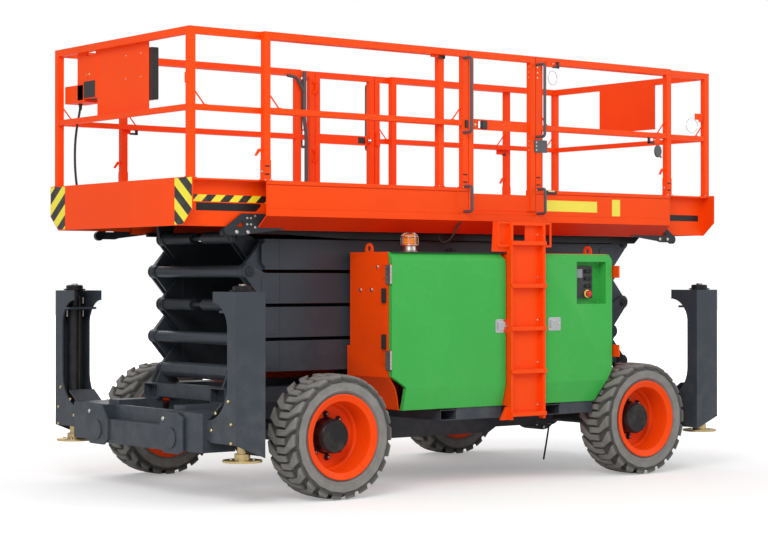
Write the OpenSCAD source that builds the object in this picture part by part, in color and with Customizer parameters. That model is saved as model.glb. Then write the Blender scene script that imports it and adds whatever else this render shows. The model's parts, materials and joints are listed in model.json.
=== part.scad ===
// Large rough terrain scissor lift on four wheels, with outriggers and two roll out decks.
// X runs along the machine with the steered axle at the low end, Z is up.
// The side with the ground controls is the near side, at negative Y.
// The origin lies on the ground under the middle of the machine.

/* [Wheels] */
// Distance between the axles
wheelbase = 2845; // [2600:5:3000]
// Width over the tyres
track_over = 2480; // [2440:5:2560]
// Radius of a tyre at the tips of its lugs
tyre_r = 419; // [405:1:425]
// Width of a tyre
tyre_w = 305; // [285:1:320]
// Radius of the rim at the bead
bead_r = 254; // [245:1:260]
// Radius of the rim flange
flange_r = 286; // [280:1:290]
// Thickness of the rim barrel
rim_wall = 14; // [8:1:20]
// Depth of the wheel disc behind the outer flange
disc_depth = 200; // [180:1:210]
// Thickness of the wheel disc
disc_t = 14; // [10:1:20]
// Radius of the hub drum
hub_r = 116; // [100:1:130]
// Length of the hub drum outside the disc
hub_out = 108; // [80:1:120]
// Radius of the wheel spindle
spindle_r = 50; // [40:1:60]
// Distance of a kingpin inside the middle of its wheel
kingpin_in = 237.5; // [230:0.5:245]
// Radius of a kingpin
kingpin_r = 30; // [24:1:36]
// Radius of the axle tubes
axle_r = 72; // [60:1:80]
// Radius of the differential housing
diff_r = 150; // [130:1:155]

/* [Chassis] */
// Half length of the main rails
rail_half = 1897; // [1870:1:1910]
// Inner side of a main rail
rail_in = 340; // [330:1:350]
// Outer side of a main rail
rail_out = 530; // [520:1:530]
// Underside of the main rails
rail_z0 = 620; // [600:1:630]
// Top of the main rails
rail_z1 = 728; // [720:1:730]
// Wall of the main rails
rail_wall = 10; // [6:1:14]
// Lowest point of the belly
belly_z = 312; // [290:1:330]
// Half width of the belly
belly_half = 450; // [430:1:460]
// Top of the lower slide tracks
track_z = 740; // [736:1:744]
// Centre of the front fork pocket along the machine
pocket_x1 = -400; // [-420:1:-380]
// Centre of the rear fork pocket along the machine
pocket_x2 = 590; // [570:1:610]
// Inside width of a fork pocket
pocket_w = 137; // [120:1:150]
// Underside of a fork pocket's opening
pocket_z0 = 484; // [478:1:490]
// Top of a fork pocket's opening
pocket_z1 = 547; // [540:1:550]
// Wall of a fork pocket
pocket_wall = 6; // [4:1:8]

/* [Outriggers] */
// Middle of a stabiliser leg along the machine
leg_x = 2143; // [2130:1:2160]
// Distance of a stabiliser leg inside the outer faces of its housing
leg_in = 88; // [80:1:95]
// Width of the upright part of a leg housing
column_w = 101; // [96:1:104]
// Reach of a leg housing's top lip
top_lip = 272; // [262:1:280]
// Reach of a leg housing's foot
foot_lip = 342; // [335:1:350]
// Outer face of the leg housings
housing_out = 1195; // [1190:1:1205]
// Wheel side of a leg housing
housing_x0 = 2022; // [2010:1:2030]
// Outer end of a leg housing
housing_x1 = 2252; // [2245:1:2270]
// Top of a leg housing
housing_z = 1388; // [1360:1:1400]
// Underside of a leg housing on its wheel side
bottom_z = 320; // [316:1:324]
// Thickness of the housing plates
housing_t = 12; // [8:1:16]
// Radius of a leg cylinder
leg_r = 50; // [45:1:52]
// Radius of a leg rod
leg_rod_r = 34; // [28:1:38]
// Top of a leg cylinder
leg_top = 1427; // [1400:1:1450]
// Radius of a foot pad
pad_r = 130; // [120:1:140]
// Underside of a foot pad at rest
pad_z = 285; // [270:1:300]
// Thickness of a foot pad
pad_t = 15; // [10:1:20]

/* [Scissor] */
// Distance between the pins of one arm
arm_len = 3565; // [3540:5:3580]
// Rise of one stage when lowered
pitch = 233; // [230:1:236]
// Fixed pins along the machine
pin_x = -1762; // [-1775:1:-1750]
// Height of the lowest pins
pin_z = 825; // [823:1:828]
// Thickness of an arm
arm_t = 80; // [78:1:84]
// Outer face of the outer arms
arm_out = 620; // [618:1:624]
// Gap between outer and inner arms
layer_gap = 35; // [30:1:38]
// Gap between stacked arms
stack_gap = 24; // [20:1:28]
// Distance from a pin to the full width of the arm
arm_end = 130; // [120:1:140]
// Radius of an arm's rounded end
boss_r = 50; // [46:1:52]
// Radius of the knuckle pins
pin_r = 30; // [24:1:34]
// Thickness of the eye plates
eye_t = 36; // [32:1:38]
// Thickness of the fork plates
fork_t = 16; // [12:1:16]
// Radius of the cross tubes
tube_r = 42; // [36:1:44]
// Radius of the inner cross tubes where a cylinder's rod passes over them
waist_r = 18; // [16:1:20]
// Radius of the centre pins
centre_r = 40; // [34:1:46]

/* [Lift cylinders] */
// Foot pin along the arm, measured from its lower pin
foot_x = 1400; // [1380:5:1420]
// Foot pin above the arm's lower pin
foot_z = 100; // [94:1:106]
// Rod pin along the machine, measured from the fixed pins
head_x = 3420; // [3410:5:3425]
// Rod pin above the arm's lower pins
head_z = 400; // [396:1:404]
// Radius of a lift cylinder
barrel_r = 62; // [56:1:66]
// Radius of a lift cylinder's rod
rod_r = 32; // [28:1:34]
// Length of rod that stays outside the cylinder
gland = 260; // [255:1:300]

/* [Cabinets] */
// Front end of the cabinets
cab_x0 = -944; // [-950:1:-940]
// Rear end of the cabinets
cab_x1 = 1153; // [1145:1:1158]
// Inner side of the cabinets
cab_in = 674; // [668:1:680]
// Outer face of the doors
cab_out = 1150; // [1145:1:1155]
// Underside of the cabinets
cab_z0 = 564; // [560:1:568]
// Rear end of the cabinets' underside
cab_foot = 1003; // [995:1:1003]
// Top of the cabinets
cab_z1 = 1658; // [1650:1:1665]
// Thickness of a door
door_t = 36; // [30:1:38]
// Thickness of the cabinet sheets
sheet_t = 8; // [5:1:10]
// Height of the fold near the bottom of the doors
fold_z = 719; // [710:1:730]
// Height of the fold near the top of the doors
brow_z = 1610; // [1600:1:1620]
// Edge of the front door beside the ladder
door_x0 = 94; // [88:1:94]
// Edge of the rear door beside the ladder
door_x1 = 446; // [444:1:450]
// Front edge of the control recess
recess_x0 = 791; // [785:1:800]
// Rear edge of the control recess
recess_x1 = 1088; // [1075:1:1095]
// Underside of the control recess
recess_z0 = 1287; // [1280:1:1295]
// Top of the control recess
recess_z1 = 1598; // [1590:1:1602]
// Depth of the control recess
recess_d = 80; // [60:1:100]
// Distance of the front doors' hinges from the cabinet's end
front_hinge_out = 11; // [10:1:14]
// Distance of the rear doors' hinges from the cabinet's end
rear_hinge_out = 27; // [26:1:30]
// Distance of the rear doors' hinges outside the doors
rear_hinge_y = 40; // [38:1:44]
// Radius of the door hinges
hinge_r = 8; // [6:1:8]

/* [Ladders] */
// Front edge of a ladder
ladder_x0 = 101; // [100:1:105]
// Rear edge of a ladder
ladder_x1 = 435; // [430:1:436]
// Outer face of a ladder
ladder_out = 1210; // [1200:1:1215]
// Lower end of a ladder
ladder_z0 = 464; // [455:1:475]
// Upper end of a ladder
ladder_z1 = 1880; // [1870:1:1888]
// Height of the lowest rung
rung_z = 501; // [495:1:510]
// Distance between rungs
rung_step = 307; // [300:1:308]
// Number of rungs
rungs = 5; // [4:1:5]

/* [Platform] */
// Front end of the main deck
deck_x0 = -1845; // [-1850:1:-1840]
// Rear end of the main deck
deck_x1 = 1980; // [1975:1:1985]
// Half width of the main deck
deck_half = 950; // [945:1:955]
// Underside of the main deck
deck_z0 = 1800; // [1795:1:1805]
// Height of the main floor
floor_z = 1938; // [1934:1:1942]
// Top of the deck sides
side_z = 2125; // [2120:1:2130]
// Fold of the deck sides
skirt_z = 1890; // [1880:1:1900]
// Sheet of the deck sides
deck_t = 8; // [5:1:9]
// Top of the guard rails
rail_top = 3115; // [3100:5:3130]
// Height of the top rail's section
rail_h = 48; // [40:1:52]
// Thickness of the rails across the machine
rail_t = 45; // [40:1:45]
// Width of a post along the machine
post_w = 49; // [46:1:64]
// Distance from the top of the rails down to the middle rail
mid_drop = 505; // [495:1:515]
// Height of the middle rail's section
mid_h = 38; // [34:1:42]
// Front end of the main guard rails
rails_x0 = -1862; // [-1880:1:-1855]
// Rear end of the main guard rails
rails_x1 = 1996; // [1985:1:2000]
// Rear end of the far guard rails
far_rails_x1 = 1960; // [1950:1:2000]
// Front edge of the near gate
gate_x0 = -86; // [-90:1:-80]
// Rear edge of the near gate
gate_x1 = 559; // [550:1:565]
// Front edge of the far gate
far_gate_x0 = -100; // [-105:1:-95]
// Rear edge of the far gate
far_gate_x1 = 488; // [480:1:492]
// Outer end of the front roll out deck
front_x = -2427; // [-2440:1:-2420]
// Inner end of the front roll out deck
front_in = -125; // [-135:1:-120]
// Outer end of the rear roll out deck
rear_x = 2488; // [2480:1:2500]
// Inner end of the rear roll out deck
rear_in = 580; // [575:1:590]
// Inner posts of the front roll out deck
front_post_x = -275; // [-280:1:-270]
// Inner posts of the rear roll out deck
rear_post_x = 630; // [625:1:640]
// Height of the roll out floors
ext_floor = 1956; // [1953:1:1960]
// Top of the end boards
board_z = 2135; // [2132:1:2140]
// Underside of the end boards
board_z0 = 1820; // [1818:1:1825]
// Underside of the roll out deck's side channels
web_z0 = 1818; // [1818:1:1822]
// Radius of the rollers under the roll out decks
roller_r = 34; // [30:1:36]
// Near edge of the front sign
front_sign_y0 = -322; // [-400:1:-300]
// Far edge of the front sign
front_sign_y1 = 370; // [290:1:370]
// Near edge of the rear sign
rear_sign_y0 = -351; // [-360:1:-330]
// Far edge of the rear sign
rear_sign_y1 = 298; // [290:1:320]

/* [Hidden] */
$fn = 48;
// Top of the axle pivots
pivot_z = tyre_r + diff_r + 6;
// Running gap of a pin in its bore
fit = 0.1;
// Gap beside a moving piece
clear = 6;
// Gap at the free edge of a gate
gate_gap = 8;
// Distance of a gate's hinge axis inside the rails
gate_axis_in = 12;
// Radius of a gate's hinge pins
gate_pin_r = 6;
// Overlap that makes two cut faces differ
eps = 1;
wheel_y = track_over / 2 - tyre_w / 2;
kingpin_y = wheel_y - kingpin_in;
axle_x = wheelbase / 2;
span = sqrt(arm_len * arm_len - pitch * pitch);
slide_x = pin_x + span;
arm_in = arm_out - arm_t;
inner_out = arm_in - layer_gap;
inner_in = inner_out - arm_t;
disc_y = tyre_w / 2 - disc_depth;
leg_y = housing_out - leg_in;
column_y = housing_out - column_w;
lip_y = housing_out - top_lip;
foot_y = housing_out - foot_lip;
door_in = cab_out - door_t;
mid_z = rail_top - mid_drop;
gate_hinges_z = [mid_z - 190, rail_top - 155];
ext_web = deck_half - 128;
side_foot = deck_half - 115;
side_web = deck_half - 154;
ext_post = deck_half - rail_t * 2 - 5;
orange = [0.93, 0.27, 0.1];
deep_orange = [0.72, 0.16, 0.08];
green = [0.2, 0.62, 0.26];
slate = [0.25, 0.28, 0.32];
black = [0.08, 0.08, 0.09];
rubber = [0.45, 0.44, 0.42];
chrome = [0.75, 0.75, 0.76];
zinc = [0.75, 0.6, 0.3];
amber = [0.95, 0.55, 0.1];

// Axis aligned block between two corners
module block(low, high) {
    translate(low)
        cube(high - low);
}

// Outline in X and Z, carried from one Y to another
module across(y0, y1) {
    translate([0, y1, 0])
        rotate([90, 0, 0])
            linear_extrude(y1 - y0)
                children();
}

// Outline in Y and Z, carried from one X to another
module along(x0, x1) {
    translate([x0, 0, 0])
        rotate([90, 0, 90])
            linear_extrude(x1 - x0)
                children();
}

// The same thing on the far side and on the near side
module both_sides() {
    children();
    mirror([0, 1, 0])
        children();
}

// The same thing at the rear and at the front
module both_ends() {
    children();
    mirror([1, 0, 0])
        children();
}

// Round bar along Y between two distances
module bar_y(x, z, r, y0, y1) {
    translate([x, y1, z])
        rotate([90, 0, 0])
            cylinder(h = y1 - y0, r = r);
}

// Round bar along X
module bar_x(y, z, r, x0, x1) {
    translate([x0, y, z])
        rotate([0, 90, 0])
            cylinder(h = x1 - x0, r = r);
}

// Ring sector in a plane, from one angle to another
module sector(r0, r1, a0, a1, steps = 12) {
    inner = [for (i = [0:steps]) r0 * [cos(a0 + (a1 - a0) * i / steps), sin(a0 + (a1 - a0) * i / steps)]];
    outer = [for (i = [steps:-1:0]) r1 * [cos(a0 + (a1 - a0) * i / steps), sin(a0 + (a1 - a0) * i / steps)]];
    polygon(concat(inner, outer));
}

// Point where the line from p touches a circle round the origin, on the side given by s
function touch(p, r, s) =
    let (d = norm(p), a = atan2(p[1], p[0]) + s * acos(r / d))
    [r * cos(a), r * sin(a)];

// Chassis

module main_rail() {
    difference() {
        block([-rail_half, rail_in, rail_z0], [rail_half, rail_out, rail_z1]);
        both_ends()
            block([rail_half - 60, rail_in + rail_wall, rail_z0 + rail_wall],
                [rail_half + eps, rail_out - rail_wall, rail_z1 - rail_wall]);
    }
}

module lower_track() {
    x0 = pin_x + arm_len * 0.5 - 130;
    x1 = slide_x + 100;
    block([x0, rail_out, track_z - 40], [x1, arm_out + 14, track_z]);
    block([x0, arm_out + clear, track_z], [x1, arm_out + 14, track_z + 30]);
    block([x0, arm_in - 14, track_z - 20], [x1, arm_in - clear, track_z + 30]);
}

// Bracket with two cheeks that holds the fixed end of an arm
module base_bracket() {
    plate = [[pin_x - 95, rail_z1], [pin_x + 95, rail_z1], [pin_x + boss_r, pin_z], [pin_x - boss_r, pin_z]];
    for (y = [inner_in, inner_out - fork_t]) {
        across(y, y + fork_t)
            polygon(plate);
        bar_y(pin_x, pin_z, boss_r, y, y + fork_t);
    }
    bar_y(pin_x, pin_z, pin_r, inner_in - 12, inner_out + 12);
    bar_y(pin_x, pin_z, boss_r + 6, -eps, inner_in + eps);
}

module belly() {
    side = [[-980, rail_z0 + 20], [-860, belly_z], [540, belly_z], [610, belly_z + 38],
        [1180, belly_z + 38], [1290, rail_z0 + 20]];
    difference() {
        across(-belly_half, belly_half)
            polygon(side);
        for (x = [pocket_x1, pocket_x2])
            block([x - pocket_w / 2, -belly_half - eps, pocket_z0],
                [x + pocket_w / 2, belly_half + eps, pocket_z1]);
    }
}

module fork_pocket(x) {
    difference() {
        block([x - pocket_w / 2 - pocket_wall, belly_half, pocket_z0 - pocket_wall],
            [x + pocket_w / 2 + pocket_wall, cab_out - 50, pocket_z1 + pocket_wall]);
        block([x - pocket_w / 2, belly_half - eps, pocket_z0],
            [x + pocket_w / 2, cab_out, pocket_z1]);
    }
    block([x - 60, cab_in + 20, pocket_z1 + pocket_wall], [x + 60, cab_out - 90, cab_z0]);
}

module skirt_plate(x0, x1) {
    block([x0, cab_out - 58, pocket_z0 - pocket_wall], [x1, cab_out - 50, cab_z0]);
}

module chassis_frame() color(slate) {
    belly();
    both_sides() {
        main_rail();
        lower_track();
        base_bracket();
    }
    both_ends() {
        block([rail_half - 95, -rail_in - eps, rail_z0 + 15], [rail_half - 5, rail_in + eps, rail_z1]);
        block([rail_half - 115, -rail_in - eps, rail_z0 - 112], [rail_half - 95, rail_in + eps, rail_z1]);
        block([axle_x - 70, -rail_in - eps, rail_z0], [axle_x + 70, rail_in + eps, rail_z1]);
        block([axle_x - 55, -110, pivot_z], [axle_x + 55, 110, rail_z0 + eps]);
    }
}

// Outer parts of the four fork pockets, with the skirt plates beside them
module fork_pockets() color(slate) {
    both_sides() {
        fork_pocket(pocket_x1);
        fork_pocket(pocket_x2);
        skirt_plate(pocket_x1 + pocket_w / 2 + pocket_wall, ladder_x0 - 6);
        skirt_plate(pocket_x2 + pocket_w / 2 + pocket_wall, axle_x - tyre_r - 10);
    }
}

module axle_beam(half) {
    bar_y(0, tyre_r, axle_r, -half, half);
    bar_y(0, tyre_r, diff_r, -95, 95);
    both_sides()
        bar_y(0, tyre_r, 105, 95, 190);
    block([-50, -100, tyre_r + 100], [50, 100, pivot_z]);
}

// Drum and spindle that carry a wheel, seen from the centre plane outwards
module wheel_end(y0) {
    bar_y(0, tyre_r, 140, y0, wheel_y + disc_y - disc_t - clear);
    bar_y(0, tyre_r, spindle_r, y0, wheel_y + disc_y + 57);
}

module front_axle() color(black) {
    translate([-axle_x, 0, 0]) {
        axle_beam(kingpin_y - 105);
        both_sides() {
            for (z = [-114, 90])
                block([-50, kingpin_y - 125, tyre_r + z], [50, kingpin_y + 33, tyre_r + z + 24]);
            block([-60, kingpin_y - 125, tyre_r - 100], [60, kingpin_y - 105, tyre_r + 100]);
            translate([0, kingpin_y, tyre_r + 60])
                cylinder(h = 64, r = kingpin_r);
            translate([0, kingpin_y, tyre_r - 124])
                cylinder(h = 64, r = kingpin_r);
        }
    }
}

module rear_axle() color(black) {
    translate([axle_x, 0, 0]) {
        axle_beam(kingpin_y + 50);
        both_sides()
            wheel_end(kingpin_y + 40);
    }
}

module knuckle() color(black) {
    translate([-axle_x, 0, 0]) {
        difference() {
            union() {
                block([-50, kingpin_y - 50, tyre_r - 84], [50, kingpin_y + 62, tyre_r + 84]);
                block([-190, kingpin_y - 30, tyre_r - 60], [-40, kingpin_y + 10, tyre_r - 25]);
                wheel_end(kingpin_y + 60);
            }
            translate([0, kingpin_y, tyre_r + 58])
                cylinder(h = 40, r = kingpin_r + fit);
            translate([0, kingpin_y, tyre_r - 98])
                cylinder(h = 40, r = kingpin_r + fit);
        }
    }
}

module knuckle_far() {
    knuckle();
}

module knuckle_near() {
    mirror([0, 1, 0])
        knuckle();
}

// Plain block at the engine's place
module engine() color(slate) {
    block([door_x1 + 54, 90 - cab_out, cab_z0 + sheet_t], [cab_foot - 18, -cab_in - 46, cab_z1 - 528]);
}

// Wheels, drawn on the axis Y at the origin with the outer side at positive Y

module tyre() color(rubber) {
    h = tyre_w / 2;
    side = [[bead_r + 0.3, h - 18], [flange_r + 6, h - 18], [flange_r + 14, h - 8], [flange_r + 50, h],
        [tyre_r - 26, h - 3], [tyre_r, h - 32]];
    section = concat(side, [for (i = [len(side) - 1:-1:0]) [side[i][0], -side[i][1]]]);
    rotate([-90, 0, 0])
        rotate_extrude($fn = 96)
            polygon(section);
}

module rim() color(orange) {
    h = tyre_w / 2;
    barrel = [[bead_r - rim_wall, -h + 6], [flange_r, -h + 6], [flange_r, -h + 16], [bead_r, -h + 18],
        [bead_r, h - 18], [flange_r, h - 16], [flange_r, h - 2], [flange_r - 8, h - 2],
        [bead_r - rim_wall, h - 14]];
    dish = [[spindle_r + fit, disc_y - disc_t], [bead_r - rim_wall + eps, disc_y - disc_t],
        [bead_r - rim_wall + eps, disc_y + 12], [bead_r - 26, disc_y + 12], [bead_r - 34, disc_y],
        [spindle_r + fit, disc_y]];
    drum = [[spindle_r + fit, disc_y], [hub_r, disc_y], [hub_r, disc_y + hub_out - 10],
        [hub_r - 10, disc_y + hub_out], [0, disc_y + hub_out], [0, disc_y + 66],
        [spindle_r + fit, disc_y + 66]];
    rotate([-90, 0, 0])
        rotate_extrude($fn = 96) {
            polygon(barrel);
            polygon(dish);
            polygon(drum);
        }
}

module at_wheel(x, side) {
    translate([x, side * wheel_y, tyre_r])
        mirror([0, side < 0 ? 1 : 0, 0])
            children();
}

// Outriggers, drawn for the rear far corner

// Side view of the plates that face along the machine, a C with two rounded inner corners
module housing_face(bottom) {
    lip_z = housing_z - 70;
    foot_z1 = bottom_z + 226;
    upper_r = column_y - lip_y + 5;
    lower_r = column_y - foot_y + 1;
    polygon([[housing_out, bottom], [housing_out, housing_z], [lip_y, housing_z], [lip_y, lip_z],
        [column_y, lip_z], [column_y, foot_z1], [foot_y, foot_z1], [foot_y, bottom + 30],
        [foot_y + 47, bottom]]);
    translate([column_y - upper_r, lip_z - upper_r])
        difference() {
            square(upper_r + 1);
            circle(r = upper_r);
        }
    translate([column_y - lower_r, foot_z1 + lower_r])
        difference() {
            translate([0, -lower_r - 1])
                square(lower_r + 1);
            circle(r = lower_r);
        }
}

module leg_housing() {
    along(housing_x0, housing_x0 + housing_t)
        housing_face(bottom_z);
    along(housing_x1 - housing_t, housing_x1)
        housing_face(bottom_z + 82);
    across(housing_out - housing_t, housing_out)
        polygon([[housing_x0, bottom_z - 9], [housing_x1, bottom_z + 82], [housing_x1, housing_z],
            [housing_x0, housing_z]]);
    for (z = [420, 1250])
        difference() {
            block([housing_x0, leg_y - 107, z], [housing_x1, housing_out, z + 16]);
            translate([leg_x, leg_y, z - eps])
                cylinder(h = 20, r = leg_r - 5);
        }
    difference() {
        union() {
            translate([leg_x, leg_y, 410])
                cylinder(h = leg_top - 410, r = leg_r);
            translate([leg_x, leg_y, 400])
                cylinder(h = 46, r = leg_r + 8);
        }
        translate([leg_x, leg_y, 390])
            cylinder(h = leg_top - 420, r = leg_rod_r + fit);
    }
}

module cross_frame() {
    beam_z0 = 322;
    plate_y = 492;
    plate = [[-150, -95], [-150, 45], [-80, 138], [80, 138], [150, 110], [150, -110], [88, -138],
        [-88, -138]];
    block([2120, -420, beam_z0], [2290, 420, 488]);
    block([2190, -640, 470], [2215, 640, 588]);
    both_sides() {
        block([2030, 400, beam_z0 + 10], [2285, foot_y + 2, 590]);
        block([rail_half - 60, 365, 500], [2200, 505, rail_z0]);
        translate([0, plate_y, 445])
            along(2290, 2306)
                polygon(plate);
        bar_x(plate_y, 411, 68, 2300, 2316);
    }
}

module outrigger_pair() color(slate) {
    cross_frame();
    both_sides()
        leg_housing();
}

module rear_outriggers() {
    outrigger_pair();
}

module front_outriggers() {
    mirror([1, 0, 0])
        outrigger_pair();
}

// Rod and pad of one leg
module leg(x, side) color(zinc) {
    translate([x, side * leg_y, pad_z]) {
        cylinder(h = pad_t, r = pad_r);
        cylinder(h = 55, r = 52);
        cylinder(h = 900, r = leg_rod_r);
    }
}

// Scissor arms

// Rounded end round a pin at the origin, tapering out to the full arm on the side of +X
module arm_tip() {
    low = [arm_end + eps, stack_gap / 2];
    high = [arm_end + eps, pitch - stack_gap / 2];
    circle(r = boss_r);
    polygon([low, high, touch(high, boss_r - 4, 1), [0, 0], touch(low, boss_r - 4, -1)]);
}

// One arm from its lower pin at the origin to its upper pin at the far end of the span
module arm_blank(y0) {
    mid = y0 + arm_t / 2;
    across(y0, y0 + arm_t)
        translate([arm_end, stack_gap / 2])
            square([span - 2 * arm_end, pitch - stack_gap]);
    across(mid - eye_t / 2, mid + eye_t / 2)
        arm_tip();
    for (y = [y0, y0 + arm_t - fork_t])
        across(y, y + fork_t)
            translate([span, pitch])
                rotate(180)
                    arm_tip();
}

// Outer arms of one stage, near and far, drawn with the lower pin at the origin
module outer_pair() {
    both_sides() {
        difference() {
            arm_blank(arm_in);
            bar_y(0, 0, pin_r + fit, arm_in - eps, arm_out + eps);
            bar_y(span / 2, pitch / 2, centre_r + fit, arm_in - eps, arm_out + eps);
        }
        bar_y(span, pitch, pin_r, arm_in - eps, arm_out + 10);
        bar_y(span, pitch, pin_r + 10, arm_out, arm_out + 6);
    }
    bar_y(span, pitch, tube_r, -arm_in, arm_in);
}

// Inner arms of one stage, with the centre pins that carry the outer arms
module inner_pair() {
    both_sides() {
        difference() {
            arm_blank(inner_in);
            bar_y(0, 0, pin_r + fit, inner_in - eps, inner_out + eps);
        }
        bar_y(span, pitch, pin_r, inner_in - eps, inner_out + 10);
        bar_y(span / 2, pitch / 2, centre_r + 24, inner_out - eps, arm_in - clear);
        bar_y(span / 2, pitch / 2, centre_r, inner_out - eps, arm_out + 10);
        bar_y(span / 2, pitch / 2, centre_r + 16, arm_out + 3, arm_out + 13);
    }
    both_sides()
        bar_y(span, pitch, tube_r, barrel_r + 8, inner_in);
    bar_y(span, pitch, waist_r, -barrel_r - 8 - eps, barrel_r + 8 + eps);
}

// Stage n with the lower pins on the left
module from_left(n) {
    translate([pin_x, 0, pin_z + (n - 1) * pitch])
        children();
}

// Stage n with the lower pins on the right
module from_right(n) {
    translate([slide_x, 0, pin_z + (n - 1) * pitch])
        mirror([1, 0, 0])
            children();
}

// Cross tube that the foot of a lift cylinder turns on
module foot_tube() {
    bar_y(foot_x, foot_z, tube_r, -inner_in, inner_in);
}

// Lugs for the rod of a lift cylinder, on an arm whose lower pin is on the right
module head_lugs() {
    x = span - head_x;
    z = head_z - pitch;
    top = pitch - stack_gap / 2;
    block([x + 63, -inner_in, top - 22], [x + 203, inner_in, top]);
    for (y = [-84, 62])
        difference() {
            union() {
                across(y, y + 22)
                    polygon([[x - 20, z + 43], [x + 63, top], [x + 203, top], [x + 203, top - 40],
                        [x + 20, z - 43]]);
                bar_y(x, z, 48, y, y + 22);
            }
            bar_y(x, z, 26, y - eps, y + 22 + eps);
        }
}

module inner_arms(n) color(slate) {
    if (n == 1 || n == 3)
        from_left(n) {
            inner_pair();
            foot_tube();
        }
    else
        from_right(n) {
            inner_pair();
            head_lugs();
        }
}

module outer_arms(n) color(slate) {
    if (n == 1 || n == 3)
        from_right(n)
            outer_pair();
    else
        from_left(n)
            outer_pair();
}

// Shoes at the sliding end of the lowest outer arms
module lower_slides() color(black) {
    foot_z0 = track_z + 1;
    both_sides() {
        for (y = [arm_in, arm_out - fork_t]) {
            bar_y(slide_x, pin_z, boss_r, y, y + fork_t);
            block([slide_x - 40, y, foot_z0], [slide_x + 40, y + fork_t, pin_z]);
        }
        block([slide_x - 85, arm_in, foot_z0], [slide_x + 85, arm_out, pin_z - boss_r - clear]);
        bar_y(slide_x, pin_z, pin_r, arm_in - 14, arm_out + 10);
    }
    bar_y(slide_x, pin_z, tube_r, -arm_in, arm_in);
}

// Shoes at the sliding end of the highest outer arms
module upper_slides() color(black) {
    mid = (arm_in + arm_out) / 2;
    z = pin_z + 4 * pitch;
    both_sides()
        difference() {
            union() {
                bar_y(slide_x, z, boss_r, mid - eye_t / 2, mid + eye_t / 2);
                block([slide_x - 42, mid - eye_t / 2, z], [slide_x + 42, mid + eye_t / 2, deck_z0 + 40]);
                block([slide_x - 85, arm_in + 4, deck_z0 + 28], [slide_x + 85, arm_out - 4, deck_z0 + 74]);
            }
            bar_y(slide_x, z, pin_r + fit, arm_in, arm_out);
        }
}

// Lift cylinders, drawn in the frame of the arm that carries the foot

cyl_len = norm([head_x - foot_x, head_z - foot_z]);
cyl_angle = atan2(head_z - foot_z, head_x - foot_x);

module in_cylinder(n) {
    from_left(n)
        translate([foot_x, 0, foot_z])
            rotate([0, -cyl_angle, 0])
                children();
}

module lift_barrel(n) color(slate) {
    in_cylinder(n)
        difference() {
            union() {
                bar_y(0, 0, tube_r + 26, -55, 55);
                bar_x(0, 0, barrel_r, 40, cyl_len - gland);
                bar_x(0, 0, barrel_r + 9, cyl_len - gland - 60, cyl_len - gland);
            }
            bar_y(0, 0, tube_r + fit, -barrel_r - 12, barrel_r + 12);
            bar_x(0, 0, rod_r + fit, 250, cyl_len);
        }
}

module lift_rod(n) color(chrome) {
    in_cylinder(n)
        difference() {
            union() {
                bar_x(0, 0, rod_r, 420, cyl_len - 20);
                bar_y(cyl_len, 0, 50, -52, 52);
            }
            bar_y(cyl_len, 0, 26, -60, 60);
        }
}

// Cabinets, drawn on the far side

// Room that a door and the gap behind it take up
module door_room(x0, x1) {
    gap = door_in - clear;
    brow = cab_out - 55 - clear;
    along(x0, x1)
        polygon([[gap - 40, cab_z0 - eps], [gap, fold_z], [gap, brow_z], [brow + 4, cab_z1 - sheet_t],
            [brow, cab_z1 + eps], [cab_out + 50, cab_z1 + eps], [cab_out + 50, cab_z0 - eps]]);
}

module cabinet_shell() {
    arch_r = 610;
    slope = [[cab_x1, 796], [cab_foot, cab_z0], [cab_foot - 9, cab_z0], [cab_x1 - sheet_t, 796]];
    outline = [[cab_x0, 802], [-819, 723], [-819, cab_z0], [cab_foot, cab_z0], [cab_x1, 796],
        [cab_x1, cab_z1], [cab_x0, cab_z1]];
    across(cab_in, cab_in + sheet_t)
        polygon(outline);
    block([cab_x0, cab_in - 34, 795], [cab_x0 + sheet_t, cab_in + eps, 1007]);
    translate([-axle_x, 0, tyre_r])
        across(cab_in - 34, cab_in + eps)
            sector(arch_r, arch_r + sheet_t, 14.5, 38.5);
    difference() {
        union() {
            block([cab_x0, cab_in, 795], [cab_x0 + sheet_t, cab_out, cab_z1]);
            block([cab_x1 - sheet_t, cab_in, 796], [cab_x1, cab_out, cab_z1]);
            across(cab_in, cab_out)
                polygon(slope);
            translate([-axle_x, 0, tyre_r])
                across(cab_in, cab_out)
                    sector(arch_r, arch_r + sheet_t, 14.5, 38.5);
            block([-822, cab_in, cab_z0], [cab_foot - 3, cab_out, cab_z0 + sheet_t]);
            block([cab_x0, cab_in, cab_z1 - sheet_t], [cab_x1, cab_out, cab_z1]);
        }
        door_room(cab_x0 - eps, cab_x1 + eps);
    }
    block([ladder_x0, door_in, cab_z0], [ladder_x1, cab_out, cab_z1 - 12]);
    for (x = [ladder_x0, ladder_x1 - sheet_t])
        block([x, cab_in, cab_z0], [x + sheet_t, cab_out - 4, cab_z1 - 12]);
}

// Ring that the lift is slung from, standing on an end wall
module lifting_eye(x) {
    y = 890;
    difference() {
        union() {
            block([x, y - 42, cab_z1 - 40], [x + sheet_t, y + 42, cab_z1 + 20]);
            bar_x(y, cab_z1 + 20, 42, x, x + sheet_t);
        }
        bar_x(y, cab_z1 + 24, 20, x - eps, x + sheet_t + eps);
    }
}

// Hinges of one door on the end wall at x, s away from the cabinet; out is their distance
// from that wall and y their distance from the centre plane
module door_hinges(x, s, out, y) {
    inner = x - s * sheet_t;
    edge = x + s * (out - hinge_r + 2);
    for (z = [890, 1480]) {
        translate([x + s * out, y, z])
            cylinder(h = 90, r = hinge_r);
        block([min(inner, edge), door_in - clear - 60, z], [max(inner, edge), door_in - clear - 52, z + 90]);
        block([min(edge, edge + s * 8), door_in - clear - 60, z], [max(edge, edge + s * 8), y, z + 90]);
    }
}

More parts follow.
